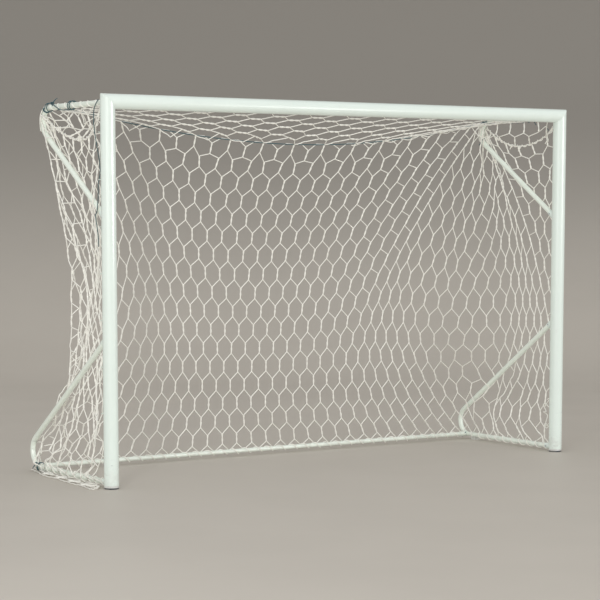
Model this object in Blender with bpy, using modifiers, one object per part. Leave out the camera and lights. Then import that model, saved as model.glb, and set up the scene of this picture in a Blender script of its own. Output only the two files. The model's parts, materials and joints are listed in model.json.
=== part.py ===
"""Futsal goal: a mitred front frame of round tube, four bent net hoops, a rear ground bar and a hexagonal net.

Everything is modelled in the goal's own frame, in metres: X runs along the mouth, +Y from the mouth
to the back of the net, +Z up, with y = 0 on the axes of the posts. One parent empty then moves the whole
goal so that the world origin lies on the floor under the middle of its box.
"""

import math

import bmesh
import bpy
from mathutils import Matrix, Quaternion, Vector

# Mouth and front frame
MOUTH_WIDTH = 3.0
MOUTH_HEIGHT = 2.0
POST_DIAMETER = 0.080
POST_WALL = 0.003
POST_SIDES = 32

# Clearance between neighbouring pieces
GAP = 0.0003

# Feet of the posts
PAD_THICKNESS = 0.008
PAD_INSET = 0.0015
PAD_EDGE = 0.0015
COLLAR_THICKNESS = 0.010
PLUG_DEPTH = 0.032

# Bent hoops that spread the net, one above and one below on each post
HOOP_DIAMETER = 0.030
HOOP_WALL = 0.002
HOOP_SIDES = 16
BORE_SIDES = 10
BEND_STEPS = 8
UPPER_RUN_DROP = 0.004
UPPER_CORNER_DEPTH = 0.947
UPPER_FOOT_HEIGHT = 1.438
UPPER_BEND_RADIUS = 0.083
LOWER_CORNER_DEPTH = 1.140
LOWER_FOOT_HEIGHT = 0.795
LOWER_BEND_RADIUS = 0.088
GROUND_RUN_HEIGHT = 0.030

# Sockets welded to the backs of the posts
SOCKET_WALL = 0.003
SOCKET_SEAT = 0.010
SOCKET_DEPTH = 0.030

# Corner connectors inside the mitres
CONNECTOR_REACH = 0.150
CONNECTOR_WALL = 0.010
CONNECTOR_CORE_RADIUS = 0.024
CONNECTOR_BEND_RADIUS = 0.030
REAR_SPIGOT_REACH = 0.050

# Rear ground bar and its sleeves on the lower hoops
REAR_BAR_DIAMETER = 0.025
REAR_BAR_WALL = 0.002
REAR_BAR_TURN = 11.0
SLEEVE_WALL = 0.003
SLEEVE_REACH = 0.060
SLEEVE_SEAT = 0.019

# Rubber feet under the lower hoops
REAR_FOOT_LENGTH = 0.050
REAR_FOOT_WIDTH = 0.034
REAR_FOOT_SETBACK = 0.085
REAR_FOOT_CRADLE = 0.006

# Screws
FRAME_SCREW_RADIUS = 0.004
FRAME_SCREW_LENGTH = 0.012
HOOP_SCREW_RADIUS = 0.003
HOOP_SCREW_LENGTH = 0.008
SCREW_HEAD_RATIO = 1.75
SCREW_SIDES = 8
FRAME_SCREW_INSET = 0.090
HOLE_SPIN = 0.17

# Net hooks welded to the backs of the posts and the crossbar
HOOK_WIRE = 0.005
HOOK_LEG = 0.014
HOOK_TIP = 0.029
HOOK_ROOT = 0.0015

# Rope along the top of the back net, and its wraps round the upper hoops
ROPE_DIAMETER = 0.005
ROPE_SAG = 0.165
ROPE_PULL = 0.070
ROPE_TURN = 60.0
ROPE_END_GAP = 0.0012
WRAP_TURNS = 2
WRAP_STEPS = 16
WRAP_SIDES = 6
WRAP_PITCH = 0.0058
WRAP_CLEARANCE = 0.0011

# Lacing cord down the back of the left post
LACING_DIAMETER = 0.004
LACING_SWAY = 0.012

# Net panels
NET_CORD = 0.006
NET_CORNER = 1.15
BACK_COLUMNS = 14
BACK_ROWS = 8
SIDE_COLUMNS = 4
SIDE_ROWS = 8
TOP_COLUMNS = 3
TOP_ROWS = 14
TOP_NET_RISE = 0.0035
CELL_POINT = 0.30
EDGE_BOW = 0.210
EDGE_BOW_HEIGHT = 0.47
SEAM_DROP = 0.165
BACK_SLACK = 0.030

# Colours
WHITE = (0.86, 0.90, 0.87, 1.0)
CORD_WHITE = (0.88, 0.88, 0.82, 1.0)
TEAL = (0.03, 0.16, 0.18, 1.0)
RUBBER = (0.02, 0.025, 0.04, 1.0)
PLASTIC = (0.80, 0.82, 0.80, 1.0)
CASTING = (0.55, 0.56, 0.58, 1.0)
STEEL = (0.62, 0.63, 0.65, 1.0)

POST_RADIUS = POST_DIAMETER / 2
POST_BORE = POST_RADIUS - POST_WALL
POST_X = MOUTH_WIDTH / 2 + POST_RADIUS
BAR_HEIGHT = MOUTH_HEIGHT + POST_RADIUS
FOOT_HEIGHT = PAD_THICKNESS + COLLAR_THICKNESS
HOOP_RADIUS = HOOP_DIAMETER / 2
HOOP_BORE = HOOP_RADIUS - HOOP_WALL
UPPER_RUN_HEIGHT = BAR_HEIGHT - UPPER_RUN_DROP
SOCKET_BORE = HOOP_RADIUS + GAP
SOCKET_RADIUS = SOCKET_BORE + SOCKET_WALL
REAR_SPIGOT_RADIUS = HOOP_BORE * math.cos(math.pi / BORE_SIDES) - GAP
REAR_BAR_RADIUS = REAR_BAR_DIAMETER / 2
SLEEVE_BORE = REAR_BAR_RADIUS + GAP
SLEEVE_RADIUS = SLEEVE_BORE + SLEEVE_WALL
ROPE_RADIUS = ROPE_DIAMETER / 2
HOOK_RADIUS = HOOK_WIRE / 2
NET_HALF = NET_CORD / 2
NET_REACH = NET_HALF * NET_CORNER
WRAP_RADIUS = HOOP_RADIUS + WRAP_CLEARANCE + ROPE_RADIUS
SIDES = (("left", -1), ("right", 1))
DOWN = Vector((0.0, 0.0, -1.0))


def clear_scene():
    for old in list(bpy.data.objects):
        bpy.data.objects.remove(old)


def new_collection(name):
    collection = bpy.data.collections.new(name)
    bpy.context.scene.collection.children.link(collection)
    return collection


def make_material(name, colour, roughness, metallic):
    material = bpy.data.materials.new(name)
    material.use_nodes = True
    shader = material.node_tree.nodes["Principled BSDF"]
    shader.inputs["Base Color"].default_value = colour
    shader.inputs["Roughness"].default_value = roughness
    shader.inputs["Metallic"].default_value = metallic
    return material


def keep(obj, name, material, angle=0.6):
    """Name a finished piece, give it its material and put it in the goal's collection."""
    obj.name = name
    obj.data.name = name
    obj.data.materials.clear()
    obj.data.materials.append(material)
    if obj.type == "MESH":
        obj.data.shade_smooth()
        obj.data.set_sharp_from_angle(angle=angle)
    move_to(obj, goal_parts)
    return obj


def move_to(obj, collection):
    for owner in list(obj.users_collection):
        owner.objects.unlink(obj)
    collection.objects.link(obj)


def hide_tool(obj, name):
    obj.name = name
    obj.hide_render = True
    obj.display_type = "WIRE"
    move_to(obj, goal_tools)
    return obj


def rod(start, end, radius, sides, spin=0.0):
    """A solid cylinder from one point to another, its facets turned by spin about its axis."""
    start, end = Vector(start), Vector(end)
    along = end - start
    facing = along.to_track_quat("Z", "Y") @ Quaternion((0.0, 0.0, 1.0), spin)
    bpy.ops.mesh.primitive_cylinder_add(
        vertices=sides, radius=radius, depth=along.length, location=(start + end) / 2, rotation=facing.to_euler())
    return bpy.context.object


def solid_curve(points, radius, sides, caps=True):
    """A round tube swept through points, as a closed mesh."""
    curve = bpy.data.curves.new("sweep", "CURVE")
    curve.dimensions = "3D"
    curve.bevel_depth = radius
    curve.bevel_resolution = sides // 2 - 2
    curve.use_fill_caps = caps
    spline = curve.splines.new("POLY")
    spline.points.add(len(points) - 1)
    for point, place in zip(spline.points, points):
        point.co = (*place, 1.0)
    guide = bpy.data.objects.new("sweep", curve)
    bpy.context.scene.collection.objects.link(guide)
    seen = guide.evaluated_get(bpy.context.evaluated_depsgraph_get())
    mesh = bpy.data.meshes.new_from_object(seen)
    swept = bpy.data.objects.new("sweep", mesh)
    swept.matrix_world = guide.matrix_world
    bpy.context.scene.collection.objects.link(swept)
    bpy.data.objects.remove(guide)
    weld(mesh)
    return swept


def weld(mesh):
    soup = bmesh.new()
    soup.from_mesh(mesh)
    bmesh.ops.remove_doubles(soup, verts=soup.verts, dist=0.00001)
    bmesh.ops.recalc_face_normals(soup, faces=soup.faces)
    soup.to_mesh(mesh)
    soup.free()


def gather(objects, name):
    """One hidden tool holding several shapes that do not touch each other."""
    soup = bmesh.new()
    for obj in objects:
        bpy.context.view_layer.update()
        mesh = obj.data.copy()
        mesh.transform(obj.matrix_world)
        soup.from_mesh(mesh)
        bpy.data.meshes.remove(mesh)
        bpy.data.objects.remove(obj)
    mesh = bpy.data.meshes.new(name)
    soup.to_mesh(mesh)
    soup.free()
    tool = bpy.data.objects.new(name, mesh)
    bpy.context.scene.collection.objects.link(tool)
    return hide_tool(tool, name)


def boolean(target, tool, operation):
    modifier = target.modifiers.new(tool.name, "BOOLEAN")
    modifier.operation = operation
    modifier.solver = "EXACT"
    modifier.object = tool


def turned(profile, sides):
    """A piece turned about Z: the profile runs down its outer side, from the top centre to the bottom one."""
    mesh = bpy.data.meshes.new("turned")
    edges = [(i, i + 1) for i in range(len(profile) - 1)]
    mesh.from_pydata([(radius, 0.0, height) for radius, height in profile], edges, [])
    obj = bpy.data.objects.new("turned", mesh)
    bpy.context.scene.collection.objects.link(obj)
    screw = obj.modifiers.new("turn", "SCREW")
    screw.steps = sides
    screw.render_steps = sides
    screw.use_merge_vertices = True
    screw.merge_threshold = 0.00001
    return obj


def filleted(start, corner, end, radius, steps):
    """Points along a straight, a bend of the given centre line radius, and another straight."""
    start, corner, end = Vector(start), Vector(corner), Vector(end)
    back = (start - corner).normalized()
    onward = (end - corner).normalized()
    half = back.angle(onward) / 2
    reach = radius / math.tan(half)
    centre = corner + (back + onward).normalized() * (radius / math.sin(half))
    first = corner + back * reach - centre
    normal = first.cross(corner + onward * reach - centre).normalized()
    turn = math.pi - 2 * half
    arc = [centre + Matrix.Rotation(turn * i / steps, 3, normal) @ first for i in range(steps + 1)]
    return [start] + arc + [end]


def side_point(side, depth, height):
    return Vector((side * POST_X, depth, height))


class Strut:
    """The straight end of a hoop that stands in a socket on the back of a post."""

    def __init__(self, side, foot_height, corner_depth, corner_height):
        self.foot = side_point(side, POST_RADIUS, foot_height)
        self.corner = side_point(side, corner_depth, corner_height)
        self.axis = (self.corner - self.foot).normalized()
        self.seat = self.foot + self.axis * (SOCKET_SEAT / self.axis.y)

    def root(self):
        return self.foot - self.axis * (POST_WALL / 2 / self.axis.y)

    def mouth(self, extra=0.0):
        return self.seat + self.axis * (SOCKET_DEPTH + extra)

    def tube_end(self):
        return self.seat + self.axis * GAP

    def screw_place(self):
        return self.seat + self.axis * (SOCKET_DEPTH * 0.55)


def upper_strut(side):
    return Strut(side, UPPER_FOOT_HEIGHT, UPPER_CORNER_DEPTH, UPPER_RUN_HEIGHT)


def lower_strut(side):
    return Strut(side, LOWER_FOOT_HEIGHT, LOWER_CORNER_DEPTH, GROUND_RUN_HEIGHT)


def ground_strut(side):
    return Strut(side, GROUND_RUN_HEIGHT, LOWER_CORNER_DEPTH, GROUND_RUN_HEIGHT)


def top_screw_place(side):
    return side_point(side, POST_RADIUS + REAR_SPIGOT_REACH / 2, UPPER_RUN_HEIGHT)


def upper_path(side, run_over=0.0):
    strut = upper_strut(side)
    start = side_point(side, POST_RADIUS + GAP - run_over, UPPER_RUN_HEIGHT)
    end = strut.tube_end() - strut.axis * run_over
    return filleted(start, strut.corner, end, UPPER_BEND_RADIUS, BEND_STEPS)


def lower_path(side, run_over=0.0):
    strut, ground = lower_strut(side), ground_strut(side)
    start = strut.tube_end() - strut.axis * run_over
    end = ground.tube_end() - ground.axis * run_over
    return filleted(start, strut.corner, end, LOWER_BEND_RADIUS, BEND_STEPS)


def bend_centre(corner_depth, corner_height, foot_height, radius, below):
    """Depth and height of the centre of a hoop's bend."""
    run = Vector((0.0, -1.0, 0.0))
    strut = Vector((0.0, POST_RADIUS - corner_depth, foot_height - corner_height)).normalized()
    half = run.angle(strut) / 2
    depth = corner_depth - radius / math.tan(half)
    return depth, corner_height + (-radius if below else radius)


def upper_bend():
    return bend_centre(UPPER_CORNER_DEPTH, UPPER_RUN_HEIGHT, UPPER_FOOT_HEIGHT, UPPER_BEND_RADIUS, True)


def lower_bend():
    return bend_centre(LOWER_CORNER_DEPTH, GROUND_RUN_HEIGHT, LOWER_FOOT_HEIGHT, LOWER_BEND_RADIUS, False)


def rear_bar_place():
    """Depth and height of the lower hoop's centre line where the rear bar meets it, a turn up the bend."""
    depth, height = lower_bend()
    turn = math.radians(REAR_BAR_TURN)
    return depth + LOWER_BEND_RADIUS * math.sin(turn), height - LOWER_BEND_RADIUS * math.cos(turn)


def rope_end():
    """Depth and height of the upper hoop's centre line where the rope is wound on, a turn up the bend."""
    depth, height = upper_bend()
    turn = math.radians(ROPE_TURN)
    return depth + UPPER_BEND_RADIUS * math.cos(turn), height + UPPER_BEND_RADIUS * math.sin(turn)


def rear_reach():
    """Depth of the rearmost solid, the back of the lower hoops' bends."""
    return lower_bend()[0] + LOWER_BEND_RADIUS + HOOP_RADIUS


def mitre_block(side, towards_bar):
    """A block whose face lies on the mitre plane, to cut away the bar's side or the post's side."""
    size = 3 * POST_DIAMETER
    sign = 1 if towards_bar else -1
    normal = Vector((-side * sign, 0.0, sign)).normalized()
    bpy.ops.mesh.primitive_cube_add(
        size=size, location=side_point(side, 0.0, BAR_HEIGHT) + normal * (size / 2 - GAP / 2),
        rotation=(0.0, math.pi / 4, 0.0))
    return bpy.context.object


def hook(root, outward, turn):
    """A welded wire hook: a leg straight out of the tube and a tip bent to one side."""
    root, outward, turn = Vector(root), Vector(outward), Vector(turn)
    start = root - outward * HOOK_ROOT
    elbow = root + outward * HOOK_LEG
    tip = elbow + turn * HOOK_TIP
    return solid_curve(filleted(start, elbow, tip, HOOK_WIRE, 2), HOOK_RADIUS, 6)


def spread(low, high, count):
    """Places spread evenly between two ends, half a step in from each."""
    return [low + (high - low) * (i + 0.5) / count for i in range(count)]


def post_hook_heights():
    """One hook for each row of the side net, in the middle of the row."""
    return spread(GROUND_RUN_HEIGHT, seam_height(net_front()), SIDE_ROWS)


def connector_screws(side):
    """The centre and outward direction of a connector's two screws: behind the post, and low behind the bar."""
    post_way = Vector((0.0, 1.0, 0.0))
    bar_way = Vector((0.0, 1.0, -1.0)).normalized()
    return (
        (Vector((side * POST_X, 0.0, BAR_HEIGHT - FRAME_SCREW_INSET)) + post_way * POST_RADIUS, post_way),
        (Vector((side * (POST_X - FRAME_SCREW_INSET), 0.0, BAR_HEIGHT)) + bar_way * POST_RADIUS, bar_way))


def screw_hole(place, outward, radius, inward_length):
    place, outward = Vector(place), Vector(outward)
    return rod(place + outward * 0.01, place - outward * inward_length, radius + GAP, 10, HOLE_SPIN)


def make_post(name, side):
    post = rod((side * POST_X, 0.0, 0.0), (side * POST_X, 0.0, BAR_HEIGHT + POST_DIAMETER), POST_RADIUS, POST_SIDES)
    struts = (upper_strut(side), lower_strut(side), ground_strut(side))
    sockets = [rod(strut.root(), strut.mouth(), SOCKET_RADIUS, 20) for strut in struts]
    hooks = [hook((side * POST_X, POST_RADIUS, height), (0, 1, 0), (side, 0, 0)) for height in post_hook_heights()]
    bores = [rod(strut.seat, strut.mouth(0.01), SOCKET_BORE, 20) for strut in struts]
    holes = [screw_hole(strut.screw_place() - Vector((side * SOCKET_RADIUS, 0, 0)), (-side, 0, 0),
                        HOOP_SCREW_RADIUS, SOCKET_WALL * 2) for strut in struts]
    holes.append(screw_hole(*connector_screws(side)[0], FRAME_SCREW_RADIUS, POST_WALL * 2))
    rear_hole = rod(side_point(side, POST_BORE / 2, UPPER_RUN_HEIGHT),
                    side_point(side, POST_DIAMETER, UPPER_RUN_HEIGHT), REAR_SPIGOT_RADIUS + GAP, 20)
    bore = rod((side * POST_X, 0.0, -0.1), (side * POST_X, 0.0, BAR_HEIGHT + POST_DIAMETER * 2), POST_BORE, POST_SIDES)
    under = rod((side * POST_X, 0.0, -0.1), (side * POST_X, 0.0, FOOT_HEIGHT), POST_RADIUS + GAP, POST_SIDES)
    boolean(post, gather(sockets, name + "_sockets"), "UNION")
    boolean(post, gather(hooks, name + "_hooks"), "UNION")
    boolean(post, gather([mitre_block(side, True)], name + "_mitre"), "DIFFERENCE")
    boolean(post, gather([bore], name + "_bore"), "DIFFERENCE")
    boolean(post, gather([under], name + "_under"), "DIFFERENCE")
    boolean(post, gather([rear_hole], name + "_spigot_hole"), "DIFFERENCE")
    boolean(post, gather(bores, name + "_socket_bores"), "DIFFERENCE")
    boolean(post, gather(holes, name + "_holes"), "DIFFERENCE")
    return keep(post, name, white_paint)


def make_crossbar():
    overrun = POST_X + POST_RADIUS + 0.01
    bar = rod((-overrun, 0.0, BAR_HEIGHT), (overrun, 0.0, BAR_HEIGHT), POST_RADIUS, POST_SIDES)
    half = panel_half_width()
    hooks = [hook((x, POST_RADIUS, BAR_HEIGHT), (0, 1, 0), (0, 0, 1)) for x in spread(-half, half, TOP_ROWS)]
    boolean(bar, gather(hooks, "crossbar_hooks"), "UNION")
    bore = rod((-overrun * 2, 0.0, BAR_HEIGHT), (overrun * 2, 0.0, BAR_HEIGHT), POST_BORE, POST_SIDES)
    boolean(bar, gather([bore], "crossbar_bore"), "DIFFERENCE")
    for name, side in SIDES:
        rear_hole = rod(side_point(side, POST_BORE / 2, UPPER_RUN_HEIGHT),
                        side_point(side, POST_DIAMETER, UPPER_RUN_HEIGHT), REAR_SPIGOT_RADIUS + GAP, 20)
        hole = screw_hole(*connector_screws(side)[1], FRAME_SCREW_RADIUS, POST_WALL * 2)
        boolean(bar, gather([mitre_block(side, False)], "crossbar_mitre_" + name), "DIFFERENCE")
        boolean(bar, gather([rear_hole], "crossbar_spigot_hole_" + name), "DIFFERENCE")
        boolean(bar, gather([hole], "crossbar_hole_" + name), "DIFFERENCE")
    return keep(bar, "crossbar", white_paint)


def make_connector(name, side):
    """A three-way casting: one spigot down the post, one along the crossbar, one back into the hoop."""
    corner = side_point(side, 0.0, BAR_HEIGHT)
    radius = POST_BORE - GAP
    clear = POST_RADIUS + 0.002
    ways = (Vector((0, 0, -1)), Vector((-side, 0, 0)))
    casting = rod(corner + ways[0] * clear, corner + ways[0] * CONNECTOR_REACH, radius, 24)
    across = rod(corner + ways[1] * clear, corner + ways[1] * CONNECTOR_REACH, radius, 24)
    boolean(casting, gather([across], name + "_across"), "UNION")
    reach = clear + CONNECTOR_WALL / 2
    elbow = filleted(corner + ways[0] * reach, corner, corner + ways[1] * reach, CONNECTOR_BEND_RADIUS, 4)
    boolean(casting, gather([solid_curve(elbow, CONNECTOR_CORE_RADIUS, 16)], name + "_core"), "UNION")
    back = rod(side_point(side, 0.0, UPPER_RUN_HEIGHT),
               side_point(side, POST_RADIUS + REAR_SPIGOT_REACH, UPPER_RUN_HEIGHT), REAR_SPIGOT_RADIUS, 20)
    boolean(casting, gather([back], name + "_back"), "UNION")
    hollows = [rod(corner + way * (clear + CONNECTOR_WALL), corner + way * (CONNECTOR_REACH + 0.02),
                   radius - CONNECTOR_WALL, 18) for way in ways]
    holes = [screw_hole(place - way * POST_WALL, way, FRAME_SCREW_RADIUS, CONNECTOR_WALL * 2)
             for place, way in connector_screws(side)]
    top_hole = screw_hole(top_screw_place(side) - Vector((side * REAR_SPIGOT_RADIUS, 0, 0)), (-side, 0, 0),
                          HOOP_SCREW_RADIUS, HOOP_SCREW_LENGTH)
    boolean(casting, gather(hollows, name + "_hollows"), "DIFFERENCE")
    boolean(casting, gather(holes + [top_hole], name + "_holes"), "DIFFERENCE")
    return keep(casting, name, cast_metal)


def make_hoop(name, side, path, run_over_path, screw_places, sleeve):
    hoop = solid_curve(path, HOOP_RADIUS, HOOP_SIDES)
    inner = solid_curve(run_over_path, HOOP_BORE, BORE_SIDES)
    depth, height = rear_bar_place()
    if sleeve:
        tee = rod((side * (POST_X - HOOP_WALL), depth, height),
                  (side * (POST_X - SLEEVE_REACH), depth, height), SLEEVE_RADIUS, 20)
        boolean(hoop, gather([tee], name + "_tee"), "UNION")
    holes = [screw_hole(place - Vector((side * HOOP_RADIUS, 0, 0)), (-side, 0, 0),
                        HOOP_SCREW_RADIUS, HOOP_WALL * 2) for place in screw_places]
    if sleeve:
        holes.append(rod((side * (POST_X - SLEEVE_SEAT), depth, height),
                         (side * (POST_X - SLEEVE_REACH - 0.02), depth, height), SLEEVE_BORE, 20))
    boolean(hoop, gather(holes, name + "_holes"), "DIFFERENCE")
    if sleeve:
        screw = screw_hole(bar_screw_place(side), DOWN, HOOP_SCREW_RADIUS, SLEEVE_WALL * 2)
        boolean(hoop, gather([screw], name + "_bar_screw_hole"), "DIFFERENCE")
    boolean(hoop, gather([inner], name + "_bore"), "DIFFERENCE")
    return keep(hoop, name, white_paint)


def bar_screw_place(side):
    """Where the rear bar's screw stands, under the sleeve."""
    x = POST_X - (SLEEVE_SEAT + SLEEVE_REACH) / 2
    depth, height = rear_bar_place()
    return Vector((side * x, depth, height - SLEEVE_RADIUS))


def make_rear_bar():
    depth, height = rear_bar_place()
    end = POST_X - SLEEVE_SEAT - GAP
    bar = rod((-end, depth, height), (end, depth, height), REAR_BAR_RADIUS, 20)
    bore = rod((-end - 0.1, depth, height), (end + 0.1, depth, height), REAR_BAR_RADIUS - REAR_BAR_WALL, 20)
    boolean(bar, gather([bore], "rear_bar_bore"), "DIFFERENCE")
    holes = [screw_hole(bar_screw_place(side) - DOWN * SLEEVE_WALL, DOWN,
                        HOOP_SCREW_RADIUS, REAR_BAR_WALL * 2) for name, side in SIDES]
    boolean(bar, gather(holes, "rear_bar_holes"), "DIFFERENCE")
    return keep(bar, "rear_ground_bar", white_paint)


def make_screw(name, place, outward, radius, length):
    """A button-head screw with its seat at place, the head outward and the shank inward."""
    head = radius * SCREW_HEAD_RATIO
    profile = ((0.0, radius * 0.4), (radius * 0.7, radius * 0.95), (head * 0.95, radius * 0.5), (head, 0.0),
               (radius, 0.0), (radius, -length), (0.0, -length))
    screw = turned(profile, SCREW_SIDES)
    outward = Vector(outward)
    screw.location = Vector(place) + outward * GAP
    screw.rotation_euler = outward.to_track_quat("Z", "Y").to_euler()
    return keep(screw, name, bright_steel)


def make_foot(name, side):
    plug = turned(((0.0, FOOT_HEIGHT + PLUG_DEPTH), (POST_BORE - GAP - 0.002, FOOT_HEIGHT + PLUG_DEPTH),
                   (POST_BORE - GAP, FOOT_HEIGHT + PLUG_DEPTH - 0.002), (POST_BORE - GAP, FOOT_HEIGHT - GAP),
                   (POST_RADIUS, FOOT_HEIGHT - GAP), (POST_RADIUS, PAD_THICKNESS), (0.0, PAD_THICKNESS)), POST_SIDES)
    plug.location = (side * POST_X, 0.0, 0.0)
    keep(plug, "foot_plug_" + name, white_plastic)
    radius = POST_RADIUS - PAD_INSET
    pad = turned(((0.0, PAD_THICKNESS - GAP), (radius - PAD_EDGE, PAD_THICKNESS - GAP),
                  (radius, PAD_THICKNESS - GAP - PAD_EDGE), (radius, PAD_EDGE), (radius - PAD_EDGE, 0.0),
                  (0.0, 0.0)), POST_SIDES)
    pad.location = (side * POST_X, 0.0, 0.0)
    keep(pad, "foot_pad_" + name, black_rubber)


def make_rear_foot(name, side):
    """A rubber block under the lower hoop, in front of the rear bar, hollowed to cradle the tube."""
    top = GROUND_RUN_HEIGHT - HOOP_RADIUS + REAR_FOOT_CRADLE
    depth = rear_bar_place()[0] - REAR_FOOT_SETBACK
    bpy.ops.mesh.primitive_cube_add(size=1.0, location=(side * POST_X, depth, top / 2))
    block = bpy.context.object
    block.scale = (REAR_FOOT_WIDTH, REAR_FOOT_LENGTH, top)
    bpy.ops.object.transform_apply(location=False, rotation=False, scale=True)
    tube = rod(side_point(side, depth - REAR_FOOT_LENGTH, GROUND_RUN_HEIGHT),
               side_point(side, depth + REAR_FOOT_LENGTH, GROUND_RUN_HEIGHT), HOOP_RADIUS + GAP, 24)
    boolean(block, gather([tube], "rear_foot_cradle_" + name), "DIFFERENCE")
    keep(block, "rear_foot_" + name, black_rubber)


def rope_end_x():
    return POST_X - WRAP_RADIUS - ROPE_RADIUS - ROPE_END_GAP


def rope_point(across):
    """The rope between the upper hoops: across runs from -1 at the left hoop to 1 at the right."""
    depth, height = rope_end()
    middle = 1 - across ** 2
    return Vector((across * rope_end_x(), depth - ROPE_PULL * middle, height - ROPE_SAG * middle))


def make_rope():
    count = BACK_COLUMNS * 2
    points = [rope_point(2 * i / count - 1) for i in range(count + 1)]
    keep(solid_curve(points, ROPE_RADIUS, 8), "rear_top_rope", teal_cord)


def make_wrap(name, side):
    """The rope's end wound round the hoop: a helix that follows the bend."""
    depth, height = upper_bend()
    steps = WRAP_TURNS * WRAP_STEPS
    points = []
    for i in range(steps + 1):
        turn = 2 * math.pi * i / WRAP_STEPS
        rise = WRAP_PITCH * WRAP_TURNS * (i / steps - 0.5)
        up = math.radians(ROPE_TURN) + rise / UPPER_BEND_RADIUS
        outward = Vector((0.0, math.cos(up), math.sin(up)))
        around = Vector((-side * math.cos(turn), 0.0, 0.0)) + outward * math.sin(turn)
        points.append(side_point(side, depth, height) + outward * UPPER_BEND_RADIUS + around * WRAP_RADIUS)
    keep(solid_curve(points, ROPE_RADIUS, WRAP_SIDES), "rope_wrap_" + name, teal_cord, 1.2)
    print("rope wrap turns clear each other by", round((WRAP_PITCH - ROPE_DIAMETER) * 1000, 2), "mm")


def panel_half_width():
    """Half the width of the top and back nets, inside the hoops and the rope's wraps."""
    return rope_end_x() - NET_REACH


def side_net_x():
    """Offset of the side nets, just outside the sockets and the flats of the rope's wraps."""
    wrap = WRAP_RADIUS + ROPE_RADIUS * math.cos(math.pi / WRAP_SIDES)
    return POST_X + max(SOCKET_RADIUS + GAP, wrap) + NET_HALF


def net_front():
    """Depth of the nets' front edges, just clear of the tubes of the front frame."""
    return POST_RADIUS + GAP + NET_HALF


def back_net_foot():
    return rear_bar_place()[0] + SLEEVE_RADIUS + GAP + NET_REACH


def seam_height(depth):
    """Height of the slack seam between the top and the side net."""
    rear, end = rope_end()
    along = (depth - net_front()) / (rear - net_front())
    start = UPPER_RUN_HEIGHT - HOOP_DIAMETER
    return start + (end - start) * along - SEAM_DROP * 4 * along * (1 - along)


def edge_depth(up):
    """Depth of the net's rear corners, from the floor at 0 to the upper hoop at 1: slack pulls them in."""
    bottom, top = back_net_foot(), rope_end()[0]
    up = min(1.0, max(0.0, up))
    skew = up ** (math.log(0.5) / math.log(EDGE_BOW_HEIGHT))
    return bottom + (top - bottom) * up - EDGE_BOW * math.sin(math.pi * skew) ** 2


def side_surface(side):
    def place(u, v):
        low = GROUND_RUN_HEIGHT
        rear_top = rope_end()[1]
        top_depth = net_front() + (edge_depth(1.0) - net_front()) * u
        top = seam_height(top_depth)
        height = top + (low - top) * v
        up = (height - low) / (rear_top - low)
        depth = net_front() + (edge_depth(up) - net_front()) * u
        return Vector((side * side_net_x(), depth, height))
    return place


def back_surface(u, v):
    across = 2 * u - 1
    rope = rope_point(across)
    rope.y += ROPE_RADIUS + GAP + NET_REACH
    low = rear_bar_place()[1]
    height = rope.z + (low - rope.z) * v
    straight = rope.y + (back_net_foot() - rope.y) * v + BACK_SLACK * math.sin(math.pi * v) * (1 - across ** 2)
    up = 1 - v
    edge = edge_depth(up) + (rope.y - rope_point(across).y) * up
    hug = abs(across) ** 5
    return Vector((across * panel_half_width(), straight + (edge - straight) * hug, height))


def top_surface(u, v):
    across = 2 * u - 1
    rope = rope_point(across)
    rope.y -= ROPE_RADIUS + GAP + NET_REACH
    front = net_front()
    depth = front + (rope.y - front) * v
    edge = seam_height(depth)
    start = BAR_HEIGHT + HOOK_RADIUS + NET_HALF + TOP_NET_RISE
    middle = start + (rope.z - start) * v - BACK_SLACK * math.sin(math.pi * v)
    hug = abs(across) ** 5
    return Vector((across * panel_half_width(), depth, middle + (edge - middle) * hug * math.sin(math.pi * v)))


def make_net(name, surface, columns, rows, upright=True):
    """A knotless hexagonal net on a surface: rows of staggered cells, pointed at both ends."""
    soup = bmesh.new()
    grid = {}
    for row in range(rows + 1):
        for half in range(2 * columns + 1):
            point = 0.0
            if 0 < row < rows and 0 < half < 2 * columns:
                point = CELL_POINT / 2 if (half + row) % 2 == 0 else -CELL_POINT / 2
            along, down = half / (2 * columns), (row + point) / rows
            place = surface(along, down) if upright else surface(down, along)
            grid[row, half] = soup.verts.new(place)
    for row in range(rows):
        starts = list(range(row % 2, 2 * columns - 1, 2))
        spans = [(start, start + 2) for start in starts]
        if row % 2:
            spans = [(0, 1)] + spans + [(2 * columns - 1, 2 * columns)]
        for first, last in spans:
            upper = [grid[row, half] for half in range(first, last + 1)]
            lower = [grid[row + 1, half] for half in range(last, first - 1, -1)]
            soup.faces.new(upper + lower)
    mesh = bpy.data.meshes.new(name)
    soup.to_mesh(mesh)
    soup.free()
    net = bpy.data.objects.new(name, mesh)
    bpy.context.scene.collection.objects.link(net)
    strands = net.modifiers.new("strands", "WIREFRAME")
    strands.thickness = NET_CORD
    strands.use_boundary = True
    strands.use_replace = True
    strands.use_even_offset = False
    return keep(net, name, net_cord)


def make_lacing():
    """The cord laced down the outside of the net behind the left post."""
    x = -(side_net_x() + NET_HALF + LACING_DIAMETER / 2 + GAP)
    top = UPPER_RUN_HEIGHT - HOOP_RADIUS - LACING_DIAMETER
    drop = UPPER_FOOT_HEIGHT - SOCKET_DEPTH
    front = POST_RADIUS + HOOK_LEG + HOOK_RADIUS + LACING_DIAMETER
    count = 16
    points = []
    for i in range(count + 1):
        down = i / count
        sway = LACING_SWAY * math.sin(1.5 * math.pi * down) ** 2
        points.append(Vector((x, front + sway, top + (drop - top) * down)))
    keep(solid_curve(points, LACING_DIAMETER / 2, 6), "lacing_cord", teal_cord)


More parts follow.
